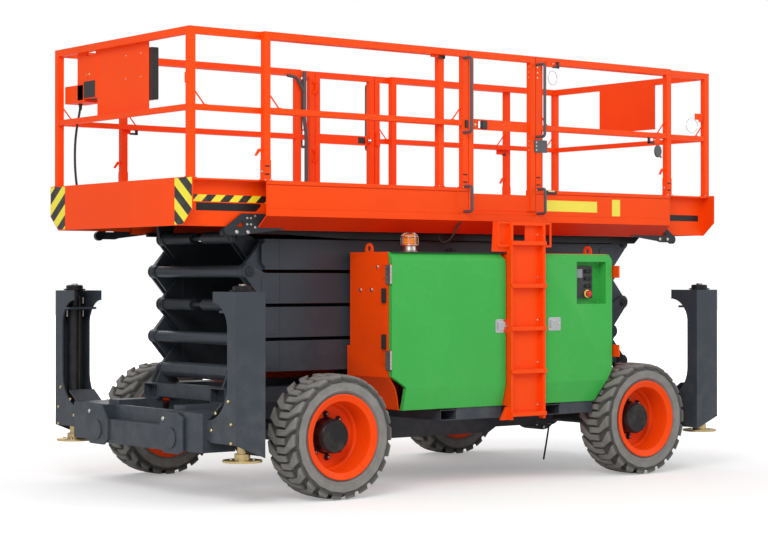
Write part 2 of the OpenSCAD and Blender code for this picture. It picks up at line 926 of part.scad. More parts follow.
module cabinet() color(orange) {
    cabinet_shell();
    lifting_eye(cab_x0);
    lifting_eye(cab_x1 - sheet_t);
    door_hinges(cab_x0, -1, front_hinge_out, cab_out);
    door_hinges(cab_x1, 1, rear_hinge_out, cab_out + rear_hinge_y);
}

module cabinet_far() {
    cabinet();
}

module cabinet_near() {
    mirror([0, 1, 0])
        cabinet();
}

// Folded sheet of a door, from one X to another
module door_sheet(x0, x1) {
    face = [[cab_out - 40, cab_z0], [cab_out, fold_z], [cab_out, brow_z], [cab_out - 35, cab_z1 - 3]];
    back = [[cab_out - 51, cab_z1 - 3], [door_in, brow_z], [door_in, fold_z],
        [door_in - 40, cab_z0]];
    along(x0, x1)
        polygon(concat(face, back));
}

module front_door() {
    difference() {
        door_sheet(cab_x0, door_x0);
        across(cab_in, cab_out + 10)
            polygon([[cab_x0 - eps, 802], [-819, 723], [-819, cab_z0 - eps], [cab_x0 - eps, cab_z0 - eps]]);
        across(cab_in, cab_out + 10)
            polygon([[door_x0 - 36, cab_z1], [door_x0 + eps, cab_z1], [door_x0 + eps, cab_z1 - 66]]);
    }
}

module rear_door() {
    difference() {
        door_sheet(door_x1, cab_x1);
        across(cab_in, cab_out + 10)
            polygon([[cab_x1 + eps, 796], [1003, cab_z0 - eps], [cab_x1 + eps, cab_z0 - eps]]);
        across(cab_in, cab_out + 10)
            polygon([[door_x1 + 22, cab_z1], [door_x1 - eps, cab_z1], [door_x1 - eps, cab_z1 - 30]]);
    }
}

module door_far_front() color(green) {
    front_door();
}

module door_far_rear() color(green) {
    rear_door();
}

module door_near_front() color(green) {
    mirror([0, 1, 0])
        front_door();
}

module door_near_rear() color(green) {
    wall = 5;
    mirror([0, 1, 0]) {
        difference() {
            union() {
                rear_door();
                block([recess_x0 - wall, cab_out - recess_d - wall, recess_z0 - wall],
                    [recess_x1 + wall, door_in + eps, recess_z1 + wall]);
            }
            block([recess_x0, cab_out - recess_d, recess_z0], [recess_x1, cab_out + eps, recess_z1]);
        }
    }
}

// Control plate in the recess of the near rear door
module ground_controls() color(black) {
    y = -cab_out + recess_d;
    block([recess_x0 + 6, y - 30, recess_z0 + 40], [recess_x0 + 202, y, recess_z1 - 30]);
    bar_y(recess_x0 + 150, recess_z0 + 75, 24, y - 38, y - 30);
    bar_y(recess_x0 + 150, recess_z0 + 75, 17, y - 58, y - 38);
}

module beacon() color(amber) {
    translate([-671, -1000, cab_z1]) {
        cylinder(h = 40, r = 62);
        translate([0, 0, 40])
            cylinder(h = 80, r = 46);
        translate([0, 0, 120])
            cylinder(h = 12, r = 56);
    }
}

// Loop handle beside the top of a ladder, from the ladder's edge to the loop's outer end
module hand_loop(edge, end) {
    rod_r = 8;
    y = ladder_out - 30;
    z0 = cab_z1 + 50;
    z1 = ladder_z1 - rod_r;
    for (z = [z0, z1]) {
        bar_x(y, z, rod_r, min(edge, end), max(edge, end));
        translate([end, y, z])
            sphere(r = rod_r);
    }
    translate([end, y, z0])
        cylinder(h = z1 - z0, r = rod_r);
}

// Ladder on the far side
module ladder() {
    sheet = 6;
    hole_z = cab_z1 + 87;
    hole_x0 = ladder_x0 + 17;
    hole_x1 = ladder_x0 + 171;
    block([ladder_x0, cab_out, ladder_z0 + 40], [ladder_x1, cab_out + sheet, hole_z]);
    across(cab_out, cab_out + sheet)
        polygon([[hole_x0 - 163, cab_z1 + 9], [hole_x0, cab_z1 + 9], [hole_x0, ladder_z1],
            [hole_x0 - 149, ladder_z1]]);
    block([hole_x1, cab_out, hole_z - eps], [ladder_x1 + 20, cab_out + sheet, ladder_z1]);
    for (x = [ladder_x0, ladder_x1 - 22])
        block([x, cab_out, ladder_z0], [x + 22, ladder_out - 14, ladder_z1]);
    for (i = [0:rungs - 1])
        block([ladder_x0, ladder_out - 40, rung_z + i * rung_step - 14],
            [ladder_x1, ladder_out, rung_z + i * rung_step + 14]);
    block([ladder_x0, ladder_out - 40, ladder_z1 - 24], [ladder_x1, ladder_out - 14, ladder_z1]);
    across(cab_out, cab_out + 20)
        polygon([[ladder_x0 - 72, ladder_z0], [ladder_x0 + 10, ladder_z0], [ladder_x0 + 10, cab_z0 - 8],
            [ladder_x0 - 20, cab_z0 - 8]]);
    hand_loop(ladder_x0 + 4, ladder_x0 - 108);
    hand_loop(ladder_x1 - 4, ladder_x1 + 62);
}

module ladders() color(orange) {
    both_sides()
        ladder();
}

// Platform

// One side of the main deck
module deck_side() {
    lip = [[deck_half - rail_t, side_z - deck_t], [deck_half - rail_t, side_z], [deck_half, side_z],
        [deck_half, skirt_z], [side_foot, deck_z0], [side_web, deck_z0], [side_web, floor_z - deck_t],
        [side_web + deck_t, floor_z - deck_t], [side_web + deck_t, deck_z0 + deck_t],
        [side_foot - 3, deck_z0 + deck_t],
        [deck_half - deck_t, skirt_z + 4], [deck_half - deck_t, side_z - deck_t]];
    along(deck_x0, deck_x1)
        polygon(lip);
}

// Channel that the upper slides run in
module upper_track() {
    x0 = pin_x + arm_len * 0.5 - 130;
    x1 = slide_x + 100;
    top = deck_z0 + 80;
    block([x0, arm_in - 10, top], [x1, arm_out + 10, top + 12]);
    for (y = [arm_in - 10, arm_out + 2])
        block([x0, y, deck_z0 + 14], [x1, y + 8, top]);
    block([x0, arm_in - 10, deck_z0 + 14], [x1, arm_in + 16, deck_z0 + 22]);
    block([x0, arm_out - 16, deck_z0 + 14], [x1, arm_out + 10, deck_z0 + 22]);
}

// Plate with an eye that the fixed end of the top inner arms hangs from
module deck_bracket() {
    mid = (inner_in + inner_out) / 2;
    z = pin_z + 4 * pitch;
    difference() {
        union() {
            across(mid - eye_t / 2, mid + eye_t / 2)
                polygon([[pin_x - boss_r, z], [pin_x + boss_r, z], [pin_x + 90, floor_z - deck_t],
                    [pin_x - 80, floor_z - deck_t]]);
            bar_y(pin_x, z, boss_r, mid - eye_t / 2, mid + eye_t / 2);
        }
        bar_y(pin_x, z, pin_r + fit, inner_in, inner_out);
    }
}

// Runner pad on a side channel, that a roll out deck slides on
module runner(x) {
    block([x - 90, side_web + 1, deck_z0 + deck_t - eps], [x + 90, side_foot - 2, web_z0 - 0.3]);
}

module joists() {
    joist_w = 60;
    count = 8;
    for (i = [0:count - 1]) {
        x = deck_x0 + 20 + i * (deck_x1 - deck_x0 - 40 - joist_w) / (count - 1);
        block([x, -side_web - 4, deck_z0 + 92], [x + joist_w, side_web + 4, floor_z - deck_t]);
    }
}

// Beam under the edge of the main deck, above the arms
module deck_beam() {
    across(655, 690)
        polygon([[deck_x0 + 60, deck_z0 + 10], [deck_x1 - 60, deck_z0 + 10], [deck_x1 - 130, deck_z0 - 50],
            [deck_x0 + 900, deck_z0 - 50], [deck_x0 + 300, deck_z0 - 22], [deck_x0 + 60, deck_z0 - 22]]);
    for (x = [deck_x0 + 150, deck_x0 + 900, deck_x1 - 1700, deck_x1 - 900, deck_x1 - 200])
        block([x, 655, deck_z0 + 2], [x + 60, side_web + 20, deck_z0 + 10]);
}

// Bracket beside the roller that a roll out deck runs on, drawn for the rear end; out is the
// distance from the deck's end to the bracket's tip
module roller_bracket(out) {
    y = ext_web + 20;
    tip = deck_x1 + out;
    top = deck_z0 + 106;
    low = deck_z0 - 40;
    roller_z = web_z0 - roller_r - 0.3;
    difference() {
        across(y, y + 10)
            polygon([[tip - 486, top], [tip - 140, top], [tip, deck_z0 + 6], [tip, deck_z0 - 18],
                [tip - 28, low], [tip - 160, low], [tip - 191, low + 9], [tip - 480, deck_z0 + 4]]);
        across(y - eps, y + 10 + eps)
            polygon([[tip - 152, deck_z0 + 55], [tip - 80, deck_z0 + 14], [tip - 152, deck_z0 + 14]]);
    }
    bar_y(tip - 18, roller_z, roller_r, ext_web - 4, y + 5);
}

module gate_cut(x0, x1, y0, y1) {
    block([x0 - clear, y0, ext_floor + 6], [x1 + clear, y1, side_z + eps]);
}

module main_deck() color(orange) {
    block([deck_x0, 7 - ext_web, floor_z - deck_t], [deck_x1, ext_web - 7, floor_z]);
    difference() {
        both_sides()
            deck_side();
        gate_cut(gate_x0, gate_x1, -deck_half - eps, -deck_half + rail_t + eps);
        gate_cut(far_gate_x0, far_gate_x1, deck_half - rail_t - eps, deck_half + eps);
    }
    joists();
    both_sides() {
        upper_track();
        deck_bracket();
        deck_beam();
        roller_bracket(156);
        for (x = [deck_x0 + 200, front_in - 200, rear_in + 200, deck_x1 - 200])
            runner(x);
        translate([deck_x0 + deck_x1, 0, 0])
            mirror([1, 0, 0])
                roller_bracket(270);
    }
}

// Upright tube of the guard rails; y is its inner face
module post(x, y, z0, z1 = rail_top - eps) {
    block([x, y, z0], [x + post_w, y + rail_t, z1]);
}

module rail_pair(x0, x1, y) {
    block([x0, y, rail_top - rail_h], [x1, y + rail_t, rail_top]);
    block([x0, y + 4, mid_z - mid_h], [x1, y + rail_t - 4, mid_z]);
}

// Fixed knuckles and pins that a gate swings on; x is the gate's hinge edge
module gate_pins(x) {
    y = deck_half - rail_t - gate_axis_in;
    for (z = gate_hinges_z) {
        translate([x - 3, y, z - 22])
            cylinder(h = 104, r = gate_pin_r);
        for (low = [z - 22, z + 61]) {
            translate([x - 3, y, low])
                cylinder(h = 21, r = gate_pin_r + 4);
            block([x - 30, y, low], [x - 3, deck_half - rail_t + eps, low + 21]);
        }
    }
}

// Knuckles of the gate itself
module gate_knuckles(x) {
    y = deck_half - rail_t - gate_axis_in;
    for (z = gate_hinges_z)
        difference() {
            union() {
                translate([x - 3, y, z])
                    cylinder(h = 60, r = gate_pin_r + 4);
                block([x - 3, y, z], [x + 24, deck_half - rail_t + eps, z + 60]);
            }
            translate([x - 3, y, z - eps])
                cylinder(h = 60 + 2 * eps, r = gate_pin_r + fit);
        }
}

// Guard rails of the main deck on one side, with the gate between two posts
module side_rails(g0, g1, x1) {
    y = deck_half - rail_t;
    rail_pair(rails_x0, g0 - clear, y);
    rail_pair(g1 + gate_gap, x1, y);
    for (x = [rails_x0, g0 - clear - post_w, g1 + gate_gap, x1 - post_w])
        post(x, y, side_z);
    gate_pins(g0);
}

module main_rails() color(orange) {
    side_rails(far_gate_x0, far_gate_x1, far_rails_x1);
    mirror([0, 1, 0])
        side_rails(gate_x0, gate_x1, rails_x1);
}

module gate(x0, x1) {
    y = deck_half - rail_t;
    z0 = ext_floor + 12;
    stile = 46;
    for (x = [x0, x1 - stile])
        block([x, y, z0], [x + stile, y + rail_t, rail_top]);
    block([x0, y, rail_top - rail_h], [x1, y + rail_t, rail_top]);
    block([x0, y + 18, mid_z - 60], [x1, y + 30, mid_z + 16]);
    block([x0, y + 30, z0], [x1, y + 38, side_z - 38]);
    gate_knuckles(x0);
}

module gate_far() color(orange) {
    gate(far_gate_x0, far_gate_x1);
}

module gate_near() color(orange) {
    mirror([0, 1, 0])
        gate(gate_x0, gate_x1);
}

// Roll out deck between its end board at x0 and its inner end at x1
module roll_deck(x0, x1) {
    low = min(x0, x1);
    high = max(x0, x1);
    board = x0 < x1 ? x0 : x0 - deck_t;
    web = [[ext_web, web_z0], [ext_web + 11, web_z0], [ext_web + 11, web_z0 + 8],
        [ext_web + deck_t, web_z0 + 8], [ext_web + deck_t, board_z - 17], [ext_post + rail_t, board_z - 17],
        [ext_post + rail_t, board_z - 5], [ext_web, board_z - 5]];
    block([low, -ext_web - eps, ext_floor - deck_t], [high, ext_web + eps, ext_floor]);
    both_sides()
        along(low, high)
            polygon(web);
    along(board, board + deck_t)
        polygon([[-side_foot, board_z0], [side_foot, board_z0], [deck_half, board_z0 + 98],
            [deck_half, board_z], [-deck_half, board_z], [-deck_half, board_z0 + 98]]);
}

module front_deck() color(orange) {
    roll_deck(front_x, front_in);
}

module rear_deck() color(orange) {
    roll_deck(rear_x, rear_in);
}

// Guard rails of a roll out deck; x0 is its outer corner and x1 its inner post
module roll_rails(x0, x1) {
    s = x0 < x1 ? 1 : -1;
    low = min(x0, x1);
    high = max(x0, x1);
    corner = s > 0 ? x0 : x0 - post_w;
    inner = s > 0 ? x1 - post_w : x1;
    both_sides() {
        rail_pair(low, high, ext_post);
        post(corner, ext_post, board_z - 5);
        post(inner, ext_post, board_z - 5);
    }
    end = s > 0 ? x0 : x0 - rail_t;
    block([end, -ext_post - eps, rail_top - rail_h], [end + rail_t, ext_post + eps, rail_top]);
    block([end + 4, -ext_post - eps, mid_z - mid_h], [end + rail_t - 4, ext_post + eps, mid_z]);
}

module front_rails() color(orange) {
    roll_rails(front_x + deck_t, front_post_x);
}

module rear_rails() color(orange) {
    roll_rails(rear_x - deck_t, rear_post_x);
}

// Blank plate between the rails at the end of a roll out deck
module front_sign() color(orange) {
    x = front_x + deck_t + rail_t;
    block([x, front_sign_y0, mid_z + 3], [x + 6, front_sign_y1, rail_top - 25]);
}

module rear_sign() color(orange) {
    x = rear_x - deck_t - rail_t - 6;
    block([x, rear_sign_y0, mid_z + 90], [x + 6, rear_sign_y1, rail_top - 25]);
}

// Control stand of the platform in the front far corner: housing with the joystick, upright
// channel, panel with a hand slot, and box
module platform_controls() color(black) {
    x = front_x + deck_t + rail_t;
    depth = 165;
    channel_y = ext_post - 288;
    panel_y = ext_post - 475;
    z = rail_top - 390;
    stick_z = z + 125;
    block([x, channel_y, z], [x + depth, ext_post - 20, stick_z]);
    block([x, channel_y - eps, z + 10], [x + 44, channel_y + 87, rail_top - 5]);
    difference() {
        block([x, panel_y, z + 20], [x + 24, channel_y, rail_top - 10]);
        block([x - eps, panel_y + 16, rail_top - 66], [x + 24 + eps, channel_y - 36, rail_top - 40]);
    }
    block([x + 24 - eps, panel_y + 14, z + 20], [x + depth, channel_y + eps, z + 145]);
    translate([x + 95, ext_post - 168, stick_z]) {
        cylinder(h = 150, r = 16);
        translate([0, 0, 170])
            sphere(r = 30);
    }
}

// Cords

function sub(a, b) = [a[0] - b[0], a[1] - b[1], a[2] - b[2]];
function unit(v) = v / norm(v);
function way(p, i) = unit(sub(p[min(i + 1, len(p) - 1)], p[max(i - 1, 0)]));
// Point on a smooth curve through the route
function curve(p, i, t) =
    let (a = p[max(i - 1, 0)], b = p[i], c = p[i + 1], d = p[min(i + 2, len(p) - 1)])
    0.5 * ((2 * b) + (c - a) * t + (2 * a - 5 * b + 4 * c - d) * t * t
        + (3 * b - a - 3 * c + d) * t * t * t);
function smooth(p, n) =
    concat([for (i = [0:len(p) - 2]) for (k = [0:n - 1]) curve(p, i, k / n)], [p[len(p) - 1]]);

// Round tube swept along a route, with eight sides
module hose(route, r, n = 3, up = [0.3, 1, 0.1]) {
    p = smooth(route, n);
    sides = 8;
    count = len(p);
    ring = [for (i = [0:count - 1])
        let (t = way(p, i), u = unit(cross(up, t)), v = cross(t, u))
        for (k = [0:sides - 1]) p[i] + r * (cos(k * 360 / sides) * u + sin(k * 360 / sides) * v)];
    faces = concat(
        [[for (k = [0:sides - 1]) k]],
        [[for (k = [sides - 1:-1:0]) (count - 1) * sides + k]],
        [for (i = [0:count - 2]) for (k = [0:sides - 1])
            [i * sides + k, (i + 1) * sides + k, (i + 1) * sides + (k + 1) % sides,
                i * sides + (k + 1) % sides]]);
    polyhedron(points = ring, faces = faces, convexity = 8);
}

// Route of the platform control cable, from the housing to the floor
cable_route = [[-2300, 740, 2735], [-2301, 744, 2690], [-2306, 756, 2630], [-2314, 772, 2540],
    [-2318, 784, 2440], [-2318, 788, 2340], [-2314, 788, 2240], [-2306, 784, 2150], [-2298, 778, 2080],
    [-2294, 772, 2010],
    [-2292, 770, ext_floor - 4]];
// Route of the loop under the main deck, from the near skirt to the floor
loop_route = [[-151, -928, 1882], [-156, -918, 1868], [-170, -888, 1800], [-190, -858, 1752],
    [-212, -826, 1736], [-226, -796, 1752], [-232, -776, 1800], [-234, -766, 1870],
    [-234, -764, floor_z - deck_t + 4]];
// Route of the earth strap under the belly
strap_route = [[1176, -430, 356], [1174, -430, 340], [1168, -430, 300], [1158, -430, 250], [1145, -430, 190],
    [1131, -430, 130], [1118, -430, 70]];

module control_cable() color(black) {
    hose(cable_route, 9);
}

module deck_cable() color(black) {
    hose(loop_route, 7);
}

module earth_strap() color(black) {
    hose(strap_route, 7);
}

chassis_frame();
fork_pockets();
front_axle();
rear_axle();
engine();
front_outriggers();
rear_outriggers();
cabinet_near();
cabinet_far();
ladders();
beacon();
door_near_front();
door_near_rear();
ground_controls();
door_far_front();
door_far_rear();
knuckle_near();
knuckle_far();
at_wheel(-axle_x, -1) tyre();  // tyre_front_near
at_wheel(-axle_x, 1) tyre();  // tyre_front_far
at_wheel(axle_x, -1) tyre();  // tyre_rear_near
at_wheel(axle_x, 1) tyre();  // tyre_rear_far
at_wheel(-axle_x, -1) rim();  // rim_front_near
at_wheel(-axle_x, 1) rim();  // rim_front_far
at_wheel(axle_x, -1) rim();  // rim_rear_near
at_wheel(axle_x, 1) rim();  // rim_rear_far
leg(-leg_x, -1);  // leg_front_near
leg(-leg_x, 1);  // leg_front_far
leg(leg_x, -1);  // leg_rear_near
leg(leg_x, 1);  // leg_rear_far
inner_arms(1);  // inner_arms_1
outer_arms(1);  // outer_arms_1
inner_arms(2);  // inner_arms_2
outer_arms(2);  // outer_arms_2
inner_arms(3);  // inner_arms_3
outer_arms(3);  // outer_arms_3
inner_arms(4);  // inner_arms_4
outer_arms(4);  // outer_arms_4
lower_slides();
upper_slides();
lift_barrel(1);  // lower_cylinder
lift_rod(1);  // lower_rod
lift_barrel(3);  // upper_cylinder
lift_rod(3);  // upper_rod
main_deck();
main_rails();
gate_near();
gate_far();
front_deck();
front_rails();
front_sign();
platform_controls();
rear_deck();
rear_rails();
rear_sign();
control_cable();
deck_cable();
earth_strap();
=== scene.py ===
"""Looks for a large rough terrain scissor lift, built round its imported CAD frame.

Sizes are millimetres in the frame of the machine: X along it with the steered wheels at the low
end, the near side with the ground controls at negative Y, Z up from the ground.
"""
import json
import math

import bmesh
import bpy
import numpy as np
from bpy.props import FloatProperty, FloatVectorProperty, IntProperty, PointerProperty
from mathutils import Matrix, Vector


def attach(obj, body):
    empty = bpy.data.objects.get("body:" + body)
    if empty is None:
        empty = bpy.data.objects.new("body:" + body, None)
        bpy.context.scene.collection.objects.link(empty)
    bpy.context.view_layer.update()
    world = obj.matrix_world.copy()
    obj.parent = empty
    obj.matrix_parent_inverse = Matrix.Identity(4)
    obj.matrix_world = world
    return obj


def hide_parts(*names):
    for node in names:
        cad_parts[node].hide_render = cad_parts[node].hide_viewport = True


bl_info = {
    "name": "Scissor lift looks",
    "version": (1, 0, 0),
    "blender": (4, 5, 0),
    "location": "View3D > Sidebar > Scissor lift",
    "description": "Dresses the frame of a rough terrain scissor lift with its finishes and small pieces",
    "category": "Object",
}

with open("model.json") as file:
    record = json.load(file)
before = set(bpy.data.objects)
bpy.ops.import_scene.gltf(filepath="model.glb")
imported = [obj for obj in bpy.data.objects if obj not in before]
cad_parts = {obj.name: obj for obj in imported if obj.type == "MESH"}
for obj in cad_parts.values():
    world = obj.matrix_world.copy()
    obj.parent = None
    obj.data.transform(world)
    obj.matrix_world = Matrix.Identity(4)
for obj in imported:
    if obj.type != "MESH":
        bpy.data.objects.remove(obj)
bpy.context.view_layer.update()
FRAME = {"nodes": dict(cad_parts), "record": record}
BODY_OF = {node: body for body, nodes in FRAME["record"]["behaviour"]["bodies"].items() for node in nodes}
MM = 0.001
# Directions of turned pieces and bolt heads
UP, DOWN, OUT, NEAR = (0, 0, 1), (0, 0, -1), (0, 1, 0), (0, -1, 0)
FORE, AFT = (-1, 0, 0), (1, 0, 0)

# Sizes shared with the frame, in millimetres
AXLE_X = 1422.5
WHEEL_Y = 1087.5
TYRE_R = 419.0
TYRE_HALF = 152.5
DISC_Y = TYRE_HALF - 200
PIN_X = -1762.0
SLIDE_X = 1795.378
CENTRE_X = (PIN_X + SLIDE_X) / 2
PIN_Z = 825.0
PITCH = 233.0
ARM_OUT = 620.0
CAB_OUT = 1150.0
LADDER_OUT = 1210.0
RAIL_TOP = 3115.0
MID_Z = 2610.0
POST_W = 49
# Outrigger legs, front wall of the cabinets, faces of the deck side and of the rail posts
LEG_X, LEG_Y = 2143.0, 1107.0
WALL_X = -944
SIDE_Y, POST_Y = 950, 905
ROLL_SIDE_Y = 829.5


# Surfaces: each function returns points (n, 3) and a list of faces

def grid_faces(rows, cols, close_rows=False, close_cols=False):
    """Quads between the neighbouring points of a grid counted row by row; a closed side wraps round."""
    row, col = np.meshgrid(np.arange(rows if close_rows else rows - 1),
                           np.arange(cols if close_cols else cols - 1), indexing="ij")
    down, right = (row + 1) % rows, (col + 1) % cols
    quads = np.stack([row * cols + col, down * cols + col, down * cols + right, row * cols + right], -1)
    return quads.reshape(-1, 4).tolist()


def lathe(profile, centre, axis=OUT, sides=48, closed=False):
    """A profile of (radius, distance) turned round an axis: point = centre + distance * axis
    + radius * (cos a * u + sin a * v), with u and v square to the axis."""
    profile = np.asarray(profile, float)
    w = np.asarray(axis, float) / np.linalg.norm(axis)
    u = np.cross(w, (0.0, 0.0, 1.0) if abs(w[2]) < 0.9 else (1.0, 0.0, 0.0))
    u /= np.linalg.norm(u)
    v = np.cross(w, u)
    a = np.linspace(0, 2 * np.pi, sides, endpoint=False)
    ring = np.cos(a)[:, None] * u + np.sin(a)[:, None] * v
    points = (np.asarray(centre, float) + profile[:, 1, None, None] * w
              + profile[:, 0, None, None] * ring[None])
    rows = len(profile)
    faces = grid_faces(rows, sides, closed, True)
    if not closed:
        faces += [list(range(sides))[::-1], list(range((rows - 1) * sides, rows * sides))]
    return points.reshape(-1, 3), faces


def prism(outline, low, high, plane="xz"):
    """A flat outline carried straight from low to high along the axis that its plane leaves out."""
    outline = np.asarray(outline, float)
    order = {"xz": (0, 2, 1), "yz": (1, 2, 0), "xy": (0, 1, 2)}[plane]
    count = len(outline)
    points = np.empty((2, count, 3))
    points[:, :, order[0]] = outline[:, 0]
    points[:, :, order[1]] = outline[:, 1]
    points[0, :, order[2]] = low
    points[1, :, order[2]] = high
    faces = grid_faces(2, count, False, True)
    faces += [list(range(count))[::-1], list(range(count, 2 * count))]
    return points.reshape(-1, 3), faces


def box(low, high):
    """A box between two corners, as a rectangle carried up in Z."""
    (x0, y0, z0), (x1, y1, z1) = low, high
    return prism([(x0, y0), (x1, y0), (x1, y1), (x0, y1)], z0, z1, "xy")


def sweep(path, profile, up=(0.0, 0.0, 1.0), closed=False):
    """A profile of (side, rise) carried along a path: at each point the section stands square to
    the mean direction of its two neighbours, with its rise kept nearest to up."""
    path, profile = np.asarray(path, float), np.asarray(profile, float)
    if closed:
        way = np.roll(path, -1, 0) - np.roll(path, 1, 0)
    else:
        way = np.gradient(path, axis=0)
    way /= np.linalg.norm(way, axis=1)[:, None]
    side = np.cross(way, np.asarray(up, float))
    side /= np.linalg.norm(side, axis=1)[:, None]
    rise = np.cross(side, way)
    points = (path[:, None] + profile[None, :, 0, None] * side[:, None]
              + profile[None, :, 1, None] * rise[:, None])
    rows, cols = len(path), len(profile)
    faces = grid_faces(rows, cols, closed, True)
    if not closed:
        faces += [list(range(cols))[::-1], list(range((rows - 1) * cols, rows * cols))]
    return points.reshape(-1, 3), faces


def circle(radius, sides=12):
    """Points of a circle round the origin."""
    a = np.linspace(0, 2 * np.pi, sides, endpoint=False)
    return radius * np.stack([np.cos(a), np.sin(a)], 1)


def tube(path, radius, sides=12, up=(0.0, 0.0, 1.0), closed=False):
    """A circle carried along a path."""
    return sweep(path, circle(radius, sides), up, closed)


def bend(corners, radius, steps=6):
    """A line through corners, each corner rounded by the curve a*(1-t)^2 + 2*p*t*(1-t) + b*t^2
    between the points one radius before and after it."""
    corners = np.asarray(corners, float)
    before, here, after = corners[:-2], corners[1:-1], corners[2:]
    a = here + radius * (before - here) / np.linalg.norm(before - here, axis=1)[:, None]
    b = here + radius * (after - here) / np.linalg.norm(after - here, axis=1)[:, None]
    t = np.linspace(0, 1, steps)[None, :, None]
    arcs = a[:, None] * (1 - t) ** 2 + 2 * here[:, None] * t * (1 - t) + b[:, None] * t ** 2
    return np.concatenate([corners[:1], arcs.reshape(-1, 3), corners[-1:]])


def moved(shape, offset):
    """A shape shifted by an offset."""
    return shape[0] + np.asarray(offset, float), shape[1]


def flipped(shape, axis=1):
    """A shape mirrored in a coordinate plane, with its faces turned round."""
    points = shape[0].copy()
    points[:, axis] *= -1
    return points, [face[::-1] for face in shape[1]]


def both_sides(*shapes):
    """The shapes and their mirror images across the machine's middle plane."""
    return list(shapes) + [flipped(shape) for shape in shapes]


def hexagon(centre, across, height, axis=OUT):
    """Head of a bolt or nut with a small chamfer on its outer edge."""
    r = across / math.sqrt(3)
    return lathe([(r, 0), (r, height * 0.75), (r * 0.82, height)], centre, axis, 6)


def button(centre, radius, height, axis=OUT, sides=12):
    """A low round head with a domed top: radius * cos t, height * sin t."""
    t = np.linspace(0, np.pi / 2 * 0.92, 5)
    profile = [(radius, 0)] + [(radius * math.cos(k) * 0.98, height * math.sin(k)) for k in t]
    return lathe(profile, centre, axis, sides)


def places_round(centre, radius, degrees, flat=False):
    """Places on a circle round a centre: upright and lengthwise, or flat."""
    x, y, z = centre
    pairs = [(radius * math.cos(a), radius * math.sin(a)) for a in np.radians(degrees)]
    return [(x + c, y + s, z) if flat else (x + c, y, z + s) for c, s in pairs]


def hoop(x, y, z, across, rise):
    """Upright ring of thin wire, an oval from the side."""
    ring = [(x + across * math.cos(a), y, z + rise * math.sin(a))
            for a in np.linspace(0, 2 * np.pi, 28, endpoint=False)]
    return tube(ring, 3, 8, OUT, True)


def sided(shapes, side):
    """Shapes drawn on the far side, mirrored for side -1."""
    return [flipped(shape) for shape in shapes] if side < 0 else shapes


# Meshes and objects

def make(name, shapes, material, body, bevel=0.0, segments=2, sharp=35.0):
    """One object from several shapes, in metres, with a finish by name, riding on a CAD body."""
    points, faces, start = [], [], 0
    for shape_points, shape_faces in shapes:
        points.append(shape_points)
        faces += [[index + start for index in face] for face in shape_faces]
        start += len(shape_points)
    mesh = bpy.data.meshes.new(name)
    mesh.from_pydata((np.concatenate(points) * MM).tolist(), [], faces)
    work = bmesh.new()
    work.from_mesh(mesh)
    bmesh.ops.recalc_face_normals(work, faces=work.faces)
    work.to_mesh(mesh)
    work.free()
    return finish_object(name, mesh, material, body, bevel, segments, sharp)


def finish_object(name, mesh, material, body, bevel, segments, sharp):
    """Links a mesh as an object, shades it smooth between its sharp edges and rounds those."""
    mesh.shade_smooth()
    mesh.set_sharp_from_angle(angle=math.radians(sharp))
    mesh.materials.clear()
    mesh.materials.append(MAT[material])
    obj = bpy.data.objects.new(name, mesh)
    bpy.context.scene.collection.objects.link(obj)
    if bevel:
        edge = obj.modifiers.new("Rounded edges", "BEVEL")
        edge.width = bevel * MM
        edge.segments = segments
        edge.limit_method = "ANGLE"
        edge.angle_limit = math.radians(sharp)
        edge.harden_normals = True
    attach(obj, body)
    return obj


def soften(node, material, width=3.0, sharp=35.0):
    """A copy of a CAD node with its flat faces joined and its sharp edges rounded."""
    mesh = FRAME["nodes"][node].data.copy()
    work = bmesh.new()
    work.from_mesh(mesh)
    bmesh.ops.remove_doubles(work, verts=work.verts, dist=2e-5)
    bmesh.ops.dissolve_limit(work, angle_limit=math.radians(0.6), verts=work.verts, edges=work.edges)
    work.to_mesh(mesh)
    work.free()
    obj = finish_object("painted_" + node, mesh, material, BODY_OF[node], width, 2, sharp)
    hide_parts(node)
    return obj


def recolour(obj, finishes):
    """Gives faces of a painted node other finishes, by tests on their centres in millimetres and
    their normals."""
    mesh = obj.data
    for key, test in finishes:
        mesh.materials.append(MAT[key])
        for face in mesh.polygons:
            if test(face.center / MM, face.normal):
                face.material_index = len(mesh.materials) - 1


def make_boxes(body, rows):
    """Small pieces of one box each, riding on one body: name, corners, finish and edge radius."""
    for name, low, high, material, bevel in rows:
        make(name, [box(low, high)], material, body, bevel, 2, 30)


# Shader groups and materials

def add(tree, kind, inputs=None, **settings):
    """A node with its settings and inputs; an input given as a socket is linked."""
    new = tree.nodes.new(kind)
    for key, value in settings.items():
        setattr(new, key, value)
    for key, value in (inputs or {}).items():
        if isinstance(value, bpy.types.NodeSocket):
            tree.links.new(value, new.inputs[key])
        else:
            new.inputs[key].default_value = value
    return new


def group(name, inputs, outputs):
    """An empty node group with named sockets; returns the tree, its inputs and its output node."""
    tree = bpy.data.node_groups.new(name, "ShaderNodeTree")
    for key, (kind, default) in inputs.items():
        socket = tree.interface.new_socket(name=key, in_out="INPUT", socket_type="NodeSocket" + kind)
        if default is not None:
            socket.default_value = default
    for key, kind in outputs.items():
        tree.interface.new_socket(name=key, in_out="OUTPUT", socket_type="NodeSocket" + kind)
    return tree, tree.nodes.new("NodeGroupInput").outputs, tree.nodes.new("NodeGroupOutput")


def mix(tree, factor, a, b, blend="MIX"):
    """Colour mix of a and b."""
    node = tree.nodes.new("ShaderNodeMix")
    node.data_type = "RGBA"
    node.blend_type = blend
    for index, value in ((0, factor), (6, a), (7, b)):
        if isinstance(value, bpy.types.NodeSocket):
            tree.links.new(value, node.inputs[index])
        else:
            node.inputs[index].default_value = value
    return node.outputs[2]


